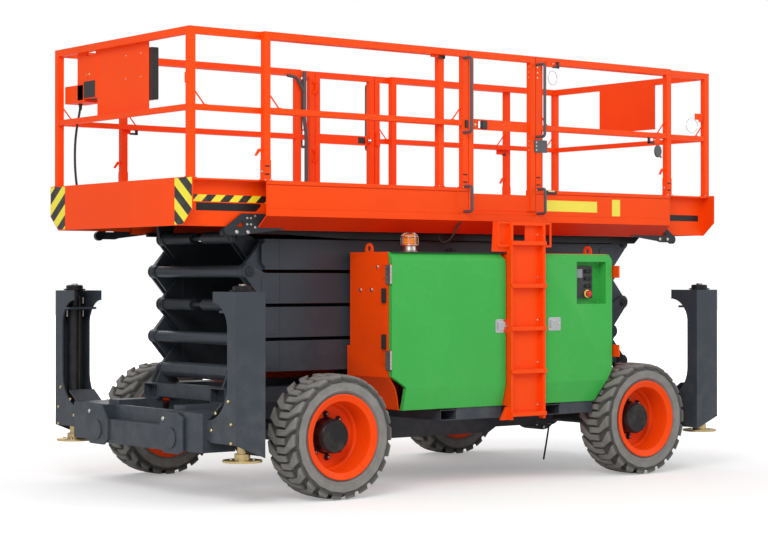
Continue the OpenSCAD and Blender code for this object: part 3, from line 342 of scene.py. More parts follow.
def noise(tree, scale, detail=2.0, rough=0.5, vector=None):
    """Noise on Object coordinates."""
    place = vector or add(tree, "ShaderNodeTexCoord").outputs["Object"]
    return add(tree, "ShaderNodeTexNoise", {"Vector": place, "Scale": scale, "Detail": detail,
                                            "Roughness": rough}).outputs["Fac"]


def spread(tree, value, low, high, out_low=0.0, out_high=1.0):
    """Maps a range of a value to another range, clamped."""
    return add(tree, "ShaderNodeMapRange", {"Value": value, "From Min": low, "From Max": high,
                                            "To Min": out_low, "To Max": out_high}).outputs["Result"]


def math_node(tree, operation, a, b=0.5):
    """One arithmetic step."""
    return add(tree, "ShaderNodeMath", {0: a, 1: b}, operation=operation).outputs[0]


def film_group():
    """Sprayed paint: cloudy tone over hands' breadths, fine orange peel, and dust that gathers low
    down and in patches."""
    tree, given, out = group("Paint film", {
        "Colour": ("Color", (0.8, 0.8, 0.8, 1)), "Dust colour": ("Color", (0.42, 0.38, 0.33, 1)),
        "Mottle": ("Float", 0.06), "Dust": ("Float", 0.1), "Gloss": ("Float", 0.3)},
        {"Colour": "Color", "Roughness": "Float", "Height": "Float"})
    cloud = noise(tree, 2.2, 3.0)
    tone = spread(tree, cloud, 0.3, 0.7, -1.0, 1.0)
    tone = math_node(tree, "MULTIPLY", tone, given["Mottle"])
    tone = math_node(tree, "ADD", tone, 1.0)
    shade = add(tree, "ShaderNodeCombineColor", {0: tone, 1: tone, 2: tone}).outputs[0]
    colour = mix(tree, 1.0, given["Colour"], shade, "MULTIPLY")
    place = add(tree, "ShaderNodeTexCoord").outputs["Object"]
    height = add(tree, "ShaderNodeSeparateXYZ", {0: place}).outputs[2]
    low = spread(tree, height, 0.15, 1.3, 1.0, 0.12)
    patch = spread(tree, noise(tree, 9.0, 5.0, 0.65), 0.42, 0.75)
    dust = math_node(tree, "MULTIPLY", math_node(tree, "MULTIPLY", low, patch), given["Dust"])
    tree.links.new(mix(tree, dust, colour, given["Dust colour"]), out.inputs["Colour"])
    rough = math_node(tree, "ADD", given["Gloss"], math_node(tree, "MULTIPLY", dust, 0.5))
    rough = math_node(tree, "ADD", rough, spread(tree, cloud, 0.3, 0.7, -0.03, 0.05))
    tree.links.new(rough, out.inputs["Roughness"])
    tree.links.new(noise(tree, 260.0, 1.0), out.inputs["Height"])
    return tree


def grain_group():
    """Moulded or cast surface: fine grain, larger blotches, and a second colour in the blotches."""
    tree, given, out = group("Moulded grain", {
        "Colour": ("Color", (0.1, 0.1, 0.1, 1)), "Second colour": ("Color", (0.2, 0.2, 0.2, 1)),
        "Grain scale": ("Float", 300.0), "Blotch": ("Float", 0.4), "Gloss": ("Float", 0.6)},
        {"Colour": "Color", "Roughness": "Float", "Height": "Float"})
    blotch = spread(tree, noise(tree, 14.0, 4.0, 0.6), 0.35, 0.75)
    amount = math_node(tree, "MULTIPLY", blotch, given["Blotch"])
    tree.links.new(mix(tree, amount, given["Colour"], given["Second colour"]), out.inputs["Colour"])
    rough = math_node(tree, "ADD", given["Gloss"], math_node(tree, "MULTIPLY", amount, 0.2))
    tree.links.new(rough, out.inputs["Roughness"])
    fine = add(tree, "ShaderNodeTexNoise", {"Vector": add(tree, "ShaderNodeTexCoord").outputs["Object"],
                                            "Scale": given["Grain scale"], "Detail": 3.0}).outputs["Fac"]
    tree.links.new(fine, out.inputs["Height"])
    return tree


def stripe_group():
    """Slanted bands of two colours: the place along a slanted direction, divided by the band's
    length, falls in the first or second half."""
    tree, given, out = group("Slanted bands", {
        "First": ("Color", (0.9, 0.75, 0.02, 1)), "Second": ("Color", (0.01, 0.01, 0.01, 1)),
        "Slant": ("Vector", (1.0, 0.0, 1.0)), "Length": ("Float", 0.1), "Start": ("Float", 0.0)},
        {"Colour": "Color"})
    place = add(tree, "ShaderNodeTexCoord").outputs["Object"]
    along = add(tree, "ShaderNodeVectorMath", {0: place, 1: given["Slant"]}, operation="DOT_PRODUCT")
    bands = math_node(tree, "DIVIDE", along.outputs["Value"], given["Length"])
    turns = math_node(tree, "FRACT", math_node(tree, "ADD", bands, given["Start"]))
    second = math_node(tree, "GREATER_THAN", turns, 0.5)
    tree.links.new(mix(tree, second, given["First"], given["Second"]), out.inputs["Colour"])
    return tree


def new_material(name):
    """A material with a Principled shader; returns it, its tree and the shader."""
    material = bpy.data.materials.new(name)
    material.use_nodes = True
    tree = material.node_tree
    return material, tree, tree.nodes["Principled BSDF"]


def apply_group(tree, shader, which, values, bump, distance):
    """Places a shader group and feeds the shader from it."""
    node = tree.nodes.new("ShaderNodeGroup")
    node.node_tree = which
    for key, value in values.items():
        node.inputs[key].default_value = value
    tree.links.new(node.outputs["Colour"], shader.inputs["Base Color"])
    tree.links.new(node.outputs["Roughness"], shader.inputs["Roughness"])
    relief = add(tree, "ShaderNodeBump", {"Strength": bump, "Distance": distance,
                                          "Height": node.outputs["Height"]})
    tree.links.new(relief.outputs["Normal"], shader.inputs["Normal"])
    return node


def paint(name, colour, gloss=0.3, mottle=0.05, dust=0.1, coat=0.08, shine=0.22):
    """Gloss paint on steel."""
    material, tree, shader = new_material(name)
    apply_group(tree, shader, GROUPS["film"], {"Colour": (*colour, 1), "Mottle": mottle, "Dust": dust,
                                               "Gloss": gloss}, 0.08, 0.0004)
    shader.inputs["Specular IOR Level"].default_value = shine
    shader.inputs["Coat Weight"].default_value = coat
    shader.inputs["Coat Roughness"].default_value = 0.12
    return material


def moulded(name, colour, second, grain=300.0, blotch=0.4, gloss=0.6, bump=0.2, metallic=0.0):
    """Rubber, plastic, cast or plated surfaces with a grain."""
    material, tree, shader = new_material(name)
    apply_group(tree, shader, GROUPS["grain"], {"Colour": (*colour, 1), "Second colour": (*second, 1),
                                                "Grain scale": grain, "Blotch": blotch, "Gloss": gloss},
                bump, 0.0006)
    shader.inputs["Metallic"].default_value = metallic
    return material


GROUPS = {}
MAT = {}


def make_materials(settings):
    """Builds the shader groups and every finish."""
    GROUPS["film"], GROUPS["grain"], GROUPS["stripe"] = film_group(), grain_group(), stripe_group()
    slate, dust = tuple(settings.slate), settings.dust
    # Name, colour, gloss, mottle, dust, coat, shine
    paints = {
        "orange": ("Orange gloss paint", tuple(settings.orange), 0.42, 0.03, dust * 0.2, 0.02, 0.13),
        # shade: a deeper orange that paints the shade on the deck's slanted skirt and in the seams under its
        # lips; the beacon's ring has it as its own colour
        "shade": ("Deep orange underside paint", (0.62, 0.03, 0.003), 0.45, 0.05, dust * 0.2, 0.02, 0.1),
        "green": ("Green gloss paint", tuple(settings.green), 0.26, 0.03, dust * 0.5),
        "slate": ("Slate grey paint", slate, 0.38, 0.08, dust),
        # dark: slate at 0.55, painted shade inside the scissor stack on the inner arms; the engine, brackets,
        # caps and pin bolts take it too
        "dark": ("Dark slate paint", tuple(c * 0.55 for c in slate), 0.42, 0.08, dust, 0.05),
        "black": ("Black paint", (0.012, 0.012, 0.013), 0.35, 0.1, dust, 0.1),
        "label": ("Yellow label", (0.92, 0.78, 0.08), 0.4, 0.03, 0.05, 0.1),
        "red": ("Red button", (0.75, 0.02, 0.02), 0.25, 0.02, 0.0, 0.4),
        "screen": ("Grey screen", (0.28, 0.3, 0.33), 0.15, 0.02, 0.0, 0.5)}
    # Name, colour, second colour, grain, blotch, gloss, bump, metallic
    moulds = {
        "rubber": ("Black rubber", (0.018, 0.018, 0.019), (0.05, 0.05, 0.05), 400.0, 0.3, 0.62, 0.25),
        "plastic": ("Black plastic", (0.015, 0.015, 0.016), (0.03, 0.03, 0.03), 700.0, 0.2, 0.42, 0.2),
        "grip": ("Grey grip coating", (0.075, 0.08, 0.09), (0.11, 0.115, 0.12), 300.0, 0.3, 0.45, 0.15),
        "zinc": ("Zinc plated steel", (0.62, 0.6, 0.55), (0.45, 0.42, 0.36), 180.0, 0.5, 0.32, 0.1, 1.0),
        "yellow_zinc": ("Yellow zinc plating", (0.72, 0.55, 0.25), (0.5, 0.42, 0.3), 120.0, 0.6, 0.35, 0.1,
                        1.0),
        "chrome": ("Polished steel", (0.75, 0.75, 0.76), (0.6, 0.6, 0.62), 90.0, 0.3, 0.14, 0.03, 1.0)}
    # Name, slant, length of a pair of bands in metres, start
    tapes = {
        "tape_deck": ("Hazard tape on the roll out decks", (1.0, 0.0, -1.0), 0.1427, 0.35),
        "tape_left": ("Hazard corner falling to the far side", (0.0, 0.75, 1.0), 0.155),
        "tape_right": ("Hazard corner falling to the near side", (0.0, -0.75, 1.0), 0.155)}
    for table, maker in ((paints, paint), (moulds, moulded), (tapes, stripe_material)):
        for key, values in table.items():
            MAT[key] = maker(*values)
    MAT["amber"] = lens_material()
    MAT["tyre"] = tyre_material()


def stripe_material(name, slant, length, start=0.0):
    """Yellow and black bands under a clear film."""
    material, tree, shader = new_material(name)
    node = tree.nodes.new("ShaderNodeGroup")
    node.node_tree = GROUPS["stripe"]
    node.inputs["First"].default_value = (0.95, 0.82, 0.03, 1)
    node.inputs["Second"].default_value = (0.014, 0.013, 0.013, 1)
    node.inputs["Slant"].default_value = slant
    node.inputs["Length"].default_value = length
    node.inputs["Start"].default_value = start
    rough = spread(tree, noise(tree, 40.0, 3.0), 0.3, 0.7, 0.3, 0.42)
    worn = spread(tree, noise(tree, 25.0, 4.0), 0.45, 0.8, 0.0, 0.12)
    tree.links.new(mix(tree, worn, node.outputs["Colour"], (0.4, 0.36, 0.3, 1)), shader.inputs["Base Color"])
    tree.links.new(rough, shader.inputs["Roughness"])
    return material


def lens_material():
    """Amber dome: coloured plastic with a faint inner glow."""
    material, tree, shader = new_material("Amber lens")
    bands = add(tree, "ShaderNodeTexWave", {"Scale": 30.0, "Distortion": 0.0,
                                            "Vector": add(tree, "ShaderNodeTexCoord").outputs["Object"]})
    tree.links.new(mix(tree, spread(tree, bands.outputs["Fac"], 0.2, 0.8, 0.0, 0.5), (0.95, 0.3, 0.015, 1),
                       (0.75, 0.16, 0.01, 1)), shader.inputs["Base Color"])
    shader.inputs["Roughness"].default_value = 0.15
    shader.inputs["Coat Weight"].default_value = 0.6
    return material


def tyre_material():
    """Light grey rubber: the ground between the lugs is darker, painted shade in the grooves, found from the
    distance to the axle, which lies at the same |X| and Z for all four wheels; the lug tops keep the full
    colour."""
    material, tree, shader = new_material("Grey tyre rubber")
    place = add(tree, "ShaderNodeTexCoord").outputs["Object"]
    parts = add(tree, "ShaderNodeSeparateXYZ", {0: place}).outputs
    x = math_node(tree, "SUBTRACT", math_node(tree, "ABSOLUTE", parts[0]), AXLE_X * MM)
    z = math_node(tree, "SUBTRACT", parts[2], TYRE_R * MM)
    away = math_node(tree, "SQRT", math_node(tree, "ADD", math_node(tree, "MULTIPLY", x, x),
                                             math_node(tree, "MULTIPLY", z, z)))
    node = apply_group(tree, shader, GROUPS["grain"], {
        "Colour": (0.2, 0.195, 0.18, 1), "Second colour": (0.34, 0.33, 0.305, 1), "Grain scale": 160.0,
        "Blotch": 0.55, "Gloss": 0.72}, 0.35, 0.0012)
    # Painted shade: the ground between the lugs drops to 0.3 of the colour, the lug tops and the sidewall
    # keep all of it
    lug = spread(tree, away, 0.388, 0.41, 0.3, 1.0)
    side = spread(tree, away, 0.36, 0.378, 1.0, 0.0)
    groove_shade = math_node(tree, "MAXIMUM", lug, side)
    shade = add(tree, "ShaderNodeCombineColor", {0: groove_shade, 1: groove_shade, 2: groove_shade}).outputs[0]
    tree.links.new(mix(tree, 1.0, node.outputs["Colour"], shade, "MULTIPLY"), shader.inputs["Base Color"])
    return material


# Wheels, worked out for the far rear wheel and mirrored to the others

def carcass():
    """Smooth body of a tyre: a closed section of sidewall, ribs and ground, turned round the axle."""
    half = [(254.5, 130), (290, 131), (297, 138), (306, 146), (310, 149.5), (316, 149.5), (320, 147),
            (360, 149), (364, 151.5), (370, 151.5), (374, 149), (384, 142), (389, 125), (392, 70), (393, 0)]
    section = [(r, y) for r, y in half] + [(r, -y) for r, y in half[-2::-1]]
    return lathe(section, (0, 0, 0), OUT, 120, True)


def lug(start):
    """One lug, carried from the shoulder to just past the middle of the tread: stations give the
    distance from the middle plane, both edges along the tread, and the radius of foot and top;
    a point lies at angle (start + edge) / tyre radius round the axle."""
    stations = np.array([
        # y, low edge, high edge, foot, top
        (151.5, -40.0, 41.0, 368.0, 399.0),
        (150.0, -40.0, 41.0, 378.0, 404.0),
        (141.0, -36.0, 45.0, 384.0, 413.0),
        (110.0, 0.0, 64.0, 386.0, 416.5),
        (64.0, 52.0, 94.0, 386.0, 418.4),
        (48.0, 57.0, 99.0, 386.0, 418.8),
        (0.0, 57.0, 99.0, 386.0, 419.0),
        (-34.0, 57.0, 99.0, 386.0, 418.8)])
    y, low, high, foot, top = stations.T
    along = np.stack([low - 5, low, low + 3.5, high - 3.5, high, high + 5], 1)
    radius = np.stack([foot, top - 4, top, top, top - 4, foot], 1)
    depth = np.repeat(y[:, None], 6, 1)
    depth[-1, [0, 5]] -= 5
    angle = (start + along) / TYRE_R
    points = np.stack([radius * np.cos(angle), depth, radius * np.sin(angle)], -1)
    rows = len(stations)
    faces = grid_faces(rows, 6)
    faces += [[r * 6 + 5, (r + 1) * 6 + 5, (r + 1) * 6, r * 6] for r in range(rows - 1)]
    faces += [list(range(6)), list(range((rows - 1) * 6, rows * 6))[::-1]]
    return points.reshape(-1, 3), faces


def tyre_shapes(lugs):
    """Body and both rows of lugs of one tyre; the rows are half a step apart."""
    step = 2 * math.pi * TYRE_R / lugs
    shapes = [carcass()]
    for index in range(lugs):
        shapes.append(lug(index * step))
        shapes.append(flipped(lug((index + 0.5) * step)))
    return shapes


def rim_shape():
    """Rim: rolled flange, cone down to the well, a step, and the disc that the hub stands on."""
    h = TYRE_HALF
    section = [(240, h - 18), (252, h - 14), (262, h - 9), (272, h - 4.5), (278, h - 1), (282, h - 0.6),
               (285, h - 2), (286.5, h - 5), (286, h - 12), (282, h - 17), (256, h - 21), (253.5, h - 26),
               (253.5, -h + 26), (284, -h + 18), (286, -h + 8), (280, -h + 5), (238, -h + 16)]
    section += [(r, DISC_Y + y) for r, y in ((236, -24), (60, -24), (60, 0), (198, 0), (204, 2), (208, 8),
                                             (212, 22), (218, 30), (228, 36), (231, 60))]
    section += [(233, h - 60), (235, h - 40)]
    return lathe(section, (0, 0, 0), OUT, 96, True)


def hub_shapes():
    """Hub drum with a chamfered foot and face."""
    top = DISC_Y + 108
    foot = [(124, DISC_Y - 2), (124, DISC_Y + 7), (118, DISC_Y + 10), (116, DISC_Y + 12)]
    face = [(116, top - 22), (112, top - 20), (111, top - 10), (109, top - 8), (109, top - 4), (105, top),
            (0.5, top)]
    return [lathe(foot + face, (0, 0, 0), OUT, 64)]


NUT_CIRCLE = 145
NUT_ANGLES = 92 + 45 * np.arange(8)


def nut_shapes():
    """Wheel nuts: hexagons on collars."""
    shapes = []
    for x, y, z in places_round((0, DISC_Y, 0), NUT_CIRCLE, NUT_ANGLES):
        shapes.append(lathe([(23, 0), (23, 3), (19, 6)], (x, y, z), OUT, 16))
        shapes.append(hexagon((x, y + 5, z), 32, 18))
    return shapes


def stud_shapes():
    """Domed ends of the wheel studs."""
    return [button(place, 9, 9) for place in places_round((0, DISC_Y + 22, 0), NUT_CIRCLE, NUT_ANGLES)]


WHEELS = {"front_near": (-1, -1), "front_far": (-1, 1), "rear_near": (1, -1), "rear_far": (1, 1)}


def at_wheel(shapes, corner):
    """Shapes of the pattern wheel put in place at one corner; the near wheels are mirrored."""
    end, side = WHEELS[corner]
    return [moved(shape, (end * AXLE_X, side * WHEEL_Y, TYRE_R)) for shape in sided(shapes, side)]


def build_tyres(settings):
    """Four tyres, each standing for its CAD ring."""
    shapes = tyre_shapes(settings.lugs)
    for corner in WHEELS:
        obj = make("tyre_with_lugs_" + corner, at_wheel(shapes, corner), "tyre",
                   BODY_OF["tyre_" + corner], sharp=28)
        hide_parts("tyre_" + corner)


def build_rims():
    """Four rims with hubs, nuts and studs."""
    for corner in WHEELS:
        body = BODY_OF["rim_" + corner]
        rim = make("dished_rim_" + corner, at_wheel([rim_shape()], corner), "orange", body, sharp=50)
        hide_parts("rim_" + corner)
        make("hub_" + corner, at_wheel(hub_shapes(), corner), "black", body, sharp=30)
        make("wheel_nuts_" + corner, at_wheel(nut_shapes(), corner), "black", body, 1.0, 1, 30)
        make("wheel_studs_" + corner, at_wheel(stud_shapes(), corner), "zinc", body)


# Cords

CABLE_ROUTE = [(-2300, 740, 2735), (-2301, 744, 2690), (-2306, 756, 2630), (-2314, 772, 2540),
               (-2318, 784, 2440), (-2318, 788, 2340), (-2314, 788, 2240), (-2306, 784, 2150),
               (-2298, 778, 2080), (-2294, 772, 2010), (-2292, 770, 1952)]
LOOP_ROUTE = [(-151, -928, 1882), (-156, -918, 1868), (-170, -888, 1800), (-190, -858, 1752),
              (-212, -826, 1736), (-226, -796, 1752), (-232, -776, 1800), (-234, -766, 1870),
              (-234, -764, 1934)]
STRAP_ROUTE = [(1176, -430, 356), (1174, -430, 340), (1168, -430, 300), (1158, -430, 250), (1145, -430, 190),
               (1131, -430, 130), (1118, -430, 70)]


def smooth(route, steps):
    """Points on the cubic through each pair of route points, its ends' slopes taken from their
    neighbours: ((2b) + (c-a)t + (2a-5b+4c-d)t^2 + (3b-a-3c+d)t^3) / 2."""
    p = np.asarray(route, float)
    p = np.concatenate([p[:1], p, p[-1:]])
    a, b, c, d = (p[i:len(p) - 3 + i, None] for i in range(4))
    t = (np.arange(steps) / steps)[None, :, None]
    curve = 0.5 * (2 * b + (c - a) * t + (2 * a - 5 * b + 4 * c - d) * t ** 2
                   + (3 * b - a - 3 * c + d) * t ** 3)
    return np.concatenate([curve.reshape(-1, 3), p[-1:]])


def ribbed(path, radius, rib, sides=14):
    """A tube whose radius rises and falls along it: radius * (1 - 0.09 * (1 + cos(2 pi s / rib)) / 2),
    s being the distance along the path."""
    path = np.asarray(path, float)
    run = np.concatenate([[0], np.cumsum(np.linalg.norm(np.diff(path, axis=0), axis=1))])
    s = np.linspace(0, run[-1], int(run[-1] / rib * 4) + 1)
    line = np.stack([np.interp(s, run, path[:, i]) for i in range(3)], 1)
    points, faces = tube(line, 1.0, sides, (0.3, 1.0, 0.1))
    size = radius * (1 - 0.045 * (1 + np.cos(2 * np.pi * s / rib)))
    points = line[:, None] + (points.reshape(len(s), sides, 3) - line[:, None]) * size[:, None, None]
    return points.reshape(-1, 3), faces


def lay_cord(node, shape):
    """One cord, standing for its CAD tube."""
    cord = make(node.replace("_", "-") + "_cord", [shape], "rubber", BODY_OF[node], sharp=60)
    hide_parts(node)


def build_cords():
    """Control cable in its ribbed sleeve, loop under the deck and earth strap."""
    cable, loop, strap = smooth(CABLE_ROUTE, 3), smooth(LOOP_ROUTE, 3), smooth(STRAP_ROUTE, 3)
    lay_cord("control_cable", ribbed(cable, 9.0, 9.0))
    lay_cord("deck_cable", tube(loop, 7.0, 12, (0.3, 1.0, 0.1)))
    lay_cord("earth_strap", tube(strap, 7.0, 12, (0.3, 1.0, 0.1)))
    gland = [(17, 6), (17, 14), (13, 16), (12.5, 28), (10.2, 48), (9.6, 54)]
    make("control_cable_gland", [lathe(gland, CABLE_ROUTE[0], DOWN, 16)], "plastic", "front_extension")
    make("deck_cable_gland", [lathe([(14, -3), (14, 4), (10, 7), (8, 22)], LOOP_ROUTE[0],
                                    (-0.1, 0.3, -0.95), 16)], "plastic", "platform")
    make("earth_strap_clamp", [lathe([(15, -6), (15, 8), (9, 12)], STRAP_ROUTE[0], DOWN, 16)], "zinc", "base")


# Running gear and chassis

def bolts(places, across, height, axis, round_head=False):
    """Heads at several places."""
    head = button if round_head else hexagon
    return [head(place, across / (2 if round_head else 1), height, axis) for place in places]


def build_running_gear():
    """Axles, knuckles and the block at the engine's place, in black and slate, with cover bolts."""
    for node in ("front_axle", "rear_axle", "knuckle_near", "knuckle_far"):
        soften(node, "black", 4)
    soften("engine", "dark", 6)
    for name, end in (("front", -1), ("rear", 1)):
        ring = places_round((end * AXLE_X, 95, TYRE_R), 128, range(18, 360, 36))
        make("axle_cover_bolts_" + name, both_sides(*bolts(ring, 19, 9, OUT)), "zinc", "base")


def leg_cylinder(end):
    """Cylinder of the far leg at one end, with its flange, its nose, its hose and, apart, its ports."""
    axis = (LEG_X * end, LEG_Y, 0)
    barrel = [(51, 448), (51, 1388), (80, 1390), (80, 1399), (62, 1401), (62, 1420), (54, 1427), (20, 1429)]
    nose = [(58.4, 404), (58.4, 440), (52, 448)]
    hose = [(LEG_X * end, y, z) for y, z in ((1060, 1345), (1030, 1345), (1030, 660), (960, 560))]
    ports = [lathe([(8, z), (8, z + 46)], ((LEG_X + k) * end, 1100, 0), UP, 10)
             for k in (-66, 66) for z in (1195, 1290)]
    ports.append(hexagon((LEG_X * end, LEG_Y, 1428), 40, 10, UP))
    return [lathe(barrel, axis, UP, 32), lathe(nose, axis, UP, 32),
            tube(bend(hose, 28), 8, 10, (1, 0.2, 0.1))], ports


def build_chassis():
    """Chassis, fork pockets, outriggers, their bolts, leg cylinders and pads."""
    for node in ("chassis_frame", "fork_pockets", "front_outriggers", "rear_outriggers"):
        soften(node, "slate", 4)
    for name, end in (("front", -1), ("rear", 1)):
        spots = ((1110, 680), (965, 598), (1143, 534), (913, 484), (1143, 412))
        foot = bolts([(2252 * end, y, z) for y, z in spots], 20, 9, (end, 0, 0))
        make("foot_bolts_" + name, both_sides(*foot), "yellow_zinc", "base")
        plate = [(2306 * end, -end * 585, 535), (2306 * end, end * 405, 535)]
        make("plate_bolts_" + name, bolts(plate, 28, 12, (end, 0, 0)), "zinc", "base")
        sheet = prism([(853, 548), (1010, 652), (1010, 664), (853, 560)], 2034 * end, 2240 * end, "yz")
        make("foot_sheets_" + name, both_sides(sheet), "slate", "base", 1, 1, 30)
        cylinder, ports = leg_cylinder(end)
        make("leg_cylinders_" + name, both_sides(*cylinder), "black", "base", sharp=30)
        make("leg_cylinder_ports_" + name, both_sides(*ports), "zinc", "base", sharp=30)
    for corner, (end, side) in WHEELS.items():
        soften("leg_" + corner, "yellow_zinc", 2)
        ring = places_round((LEG_X * end, LEG_Y * side, 300), 74, range(45, 405, 90), True)
        make("pad_bolts_" + corner, bolts(ring, 18, 9, UP), "zinc", BODY_OF["leg_" + corner])


# Scissor

def pin_end(x, y, z, radius):
    """Retainer plate, bolt and greaser on the end of a knuckle pin."""
    return [lathe([(radius, 0), (radius, 7), (radius - 4, 11), (1, 11)], (x, y, z), OUT, 28),
            hexagon((x, y + 10, z), 24, 8)]


def arm_plate(x0, x1, z0, z1):
    """Stiffener on an arm's face, a flat plate with rounded corners."""
    c = 22
    outline = [(x0 + c, z0), (x1 - c, z0), (x1 - 6, z0 + 6), (x1, z0 + c), (x1, z1 - c), (x1 - 6, z1 - 6),
               (x1 - c, z1), (x0 + c, z1), (x0, z1 - c), (x0, z0 + c)]
    return prism(outline, ARM_OUT - 1, ARM_OUT + 4)


def build_scissor():
    """Arms, slides and cylinders, with stiffeners on the arms and caps and bolts on the pins."""
    for stage in (1, 2, 3, 4):
        outer, inner = "outer_arms_%d" % stage, "inner_arms_%d" % stage
        soften(outer, "slate", 6, 40)
        # The inner arms take the darker slate: painted shade inside the stack
        soften(inner, "dark", 6, 40)
        low = PIN_Z + (stage - 1) * PITCH
        short = (PIN_X + 100, PIN_X + 250, low + 36, low + PITCH - 32)
        long = (SLIDE_X - 262, SLIDE_X - 112, low + 30, low + PITCH - 36)
        seams = [box((PIN_X + 252, ARM_OUT - 1, low + 14), (PIN_X + 256, ARM_OUT + 2, low + PITCH - 14))]
        make("arm_stiffeners_%d" % stage, both_sides(arm_plate(*short), arm_plate(*long), *seams), "slate",
             BODY_OF[outer], 2, 2, 30)
        top = low + PITCH
        caps = pin_end(PIN_X if stage in (1, 3) else SLIDE_X, ARM_OUT + 9, top, 33)
        make("knuckle_caps_%d" % stage, both_sides(*caps), "dark", BODY_OF[outer], sharp=30)
        middle = (CENTRE_X, ARM_OUT + 13, top - PITCH / 2)
        hub = [lathe([(40, 0), (40, 6), (35, 10), (1, 10)], middle, OUT, 28)]
        ring = places_round((middle[0], middle[1] - 1, middle[2]), 47, (90, 210, 330))
        make("centre_pin_bolts_%d" % stage, both_sides(*bolts(ring, 17, 8, OUT), *hub), "dark",
             BODY_OF[inner], sharp=30)
    for node, key, width in (("slides", "black", 3), ("cylinder", "black", 3), ("rod", "chrome", 1.5)):
        soften("lower_" + node, key, width)
        soften("upper_" + node, key, width)


# Cabinets, ladders and beacon

def door_latch(x, z):
    """Paddle latch: a dished plate with a raised paddle and its lock barrel."""
    y = CAB_OUT
    plate = [(x - 62, z - 40), (x - 54, z - 48), (x + 54, z - 48), (x + 62, z - 40), (x + 62, z + 40),
             (x + 54, z + 48), (x - 54, z + 48), (x - 62, z + 40)]
    paddle = [(x - 44, z - 30), (x + 18, z - 30), (x + 24, z - 24), (x + 24, z + 24), (x + 18, z + 30),
              (x - 44, z + 30)]
    return [prism(plate, y - 1, y + 4), prism(paddle, y + 2, y + 15),
            lathe([(9, 0), (9, 8), (7, 10), (1, 10)], (x + 42, y + 3, z), OUT, 16)]


def build_cabinets():
    """Cabinet shells, green doors, their hinges, catches and latches."""
    for name, side in (("near", -1), ("far", 1)):
        soften("cabinet_" + name, "orange", 2)
        for end, x, z in (("front", 53, 1135), ("rear", 563, 1143)):
            door = "door_%s_%s" % (name, end)
            soften(door, "green", 3)
            latch = sided(door_latch(x, z), side)
            make("latch_%s_%s" % (end, name), latch, "chrome", BODY_OF[door], 1.5, 2, 30)
        leaves, catches = [], []
        for low, high in ((848, 980), (1436, 1568)):
            leaves += [box((WALL_X - 13.5, CAB_OUT - 58, low), (WALL_X - 8.5, CAB_OUT - 8, high))]
            screws = [(WALL_X - 13, CAB_OUT - 42, low + k) for k in (16, 50, 84, 118)]
            leaves += bolts(screws, 9, 3, FORE, True)
            knuckle = (WALL_X - 11, CAB_OUT, low)
            leaves += [lathe([(9, k), (9, k + 24)], knuckle, UP, 16) for k in range(2, 107, 26)]
        make("hinge_leaves_" + name, sided(leaves, side), "zinc", "base", 0.8, 1, 30)
        for z in (1357, 1040):
            catches += [box((WALL_X - 20, CAB_OUT - 96, z - 50), (WALL_X, CAB_OUT - 62, z + 50))]
            catches += bolts([(WALL_X - 20, CAB_OUT - 79, z + k) for k in (-26, 26)], 13, 4, FORE, True)
        make("rubber_catches_" + name, sided(catches, side), "rubber", "base", 4, 3, 30)
        for end, x, axis, spots in (("end", WALL_X, FORE, ((800, 1394), (925, 1395), (993, 1554))),
                                    ("rear", 1153, AFT, ((800, 1394), (925, 1395)))):
            heads = bolts([(x, y, z) for y, z in spots], 24, 9, axis)
            make("%s_wall_bolts_%s" % (end, name), sided(heads, side), "zinc", "base")
        seal = [box((-936, CAB_OUT - 12, 1653), (90, CAB_OUT - 38, 1659))]
        make("rain_seal_" + name, sided(seal, side), "rubber", "base", 2, 2, 30)


def build_ground_controls():
    """Control plate in its green recess: grey screen, knobs, keys and the red stop button."""
    body = BODY_OF["ground_controls"]
    soften("ground_controls", "plastic", 3)
    face = -1100.0
    make_boxes(body, [("ground_screen", (822, face - 3, 1480), (892, face + 1, 1545), "screen", 2)])
    knobs = [lathe([(15, 0), (15, 10), (11, 13), (10, 20), (1, 20)], (x, face, z), NEAR, 20)
             for x in (930, 968) for z in (1420, 1475, 1530)]
    make("ground_knobs", knobs, "rubber", body, sharp=30)
    stop = (941, face, 1362)
    ring = [(30, 0), (30, 6), (26, 8), (1, 8)]
    make("stop_button_ring", [lathe(ring, stop, NEAR, 28)], "label", body, sharp=30)
    head = [(12, 4), (12, 16), (24, 18), (25, 24), (20, 30), (10, 33), (0.5, 34)]
    make("stop_button", [lathe(head, stop, NEAR, 28)], "red", body, sharp=50)
    screws = [(x, -CAB_OUT + 80, z) for x in (800, 1080) for z in (1298, 1588)]
    make("recess_frame_bolts", bolts(screws, 10, 4, NEAR, True), "zinc", body)


def build_beacon():
    """Ribbed amber lens on a grey foot with an orange ring, in a cage of wire."""
    x, y, z = middle = (-671, -1000, 1658)

    def turn(profile):
        return [lathe(profile, middle, UP, 40)]
    foot = make("beacon_foot", turn([(60, 0), (60, 5), (48, 12), (45, 46)]), "zinc", "base", sharp=30)
    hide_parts("beacon")
    make("beacon_ring", turn([(58, 44), (58, 51), (50, 54)]), "shade", "base", sharp=30)
    lens = [(49, 50)]
    for rise in range(0, 60, 10):
        lens += [(51, 53 + rise), (51, 58 + rise), (48.5, 60 + rise)]
    lens += [(44, 119), (30, 124), (1, 126)]
    make("beacon_dome", turn(lens), "amber", "base", sharp=60)
    wires = [tube(places_round((x, y, z + rise), 60, range(0, 360, 9), True), 3.2, 8, UP, True)
             for rise in (50, 108)]
    for k in np.radians(np.arange(0, 180, 45)):
        way = np.array([math.cos(k), math.sin(k), 0])
        corners = [(-60, 48), (-60, 116), (-34, 133), (34, 133), (60, 116), (60, 48)]
        path = [np.array([x, y, z + h]) + way * s for s, h in corners]
        wires.append(tube(bend(path, 14), 2.4, 8, tuple(np.cross(way, UP))))
    make("beacon_cage", wires, "zinc", "base", sharp=60)


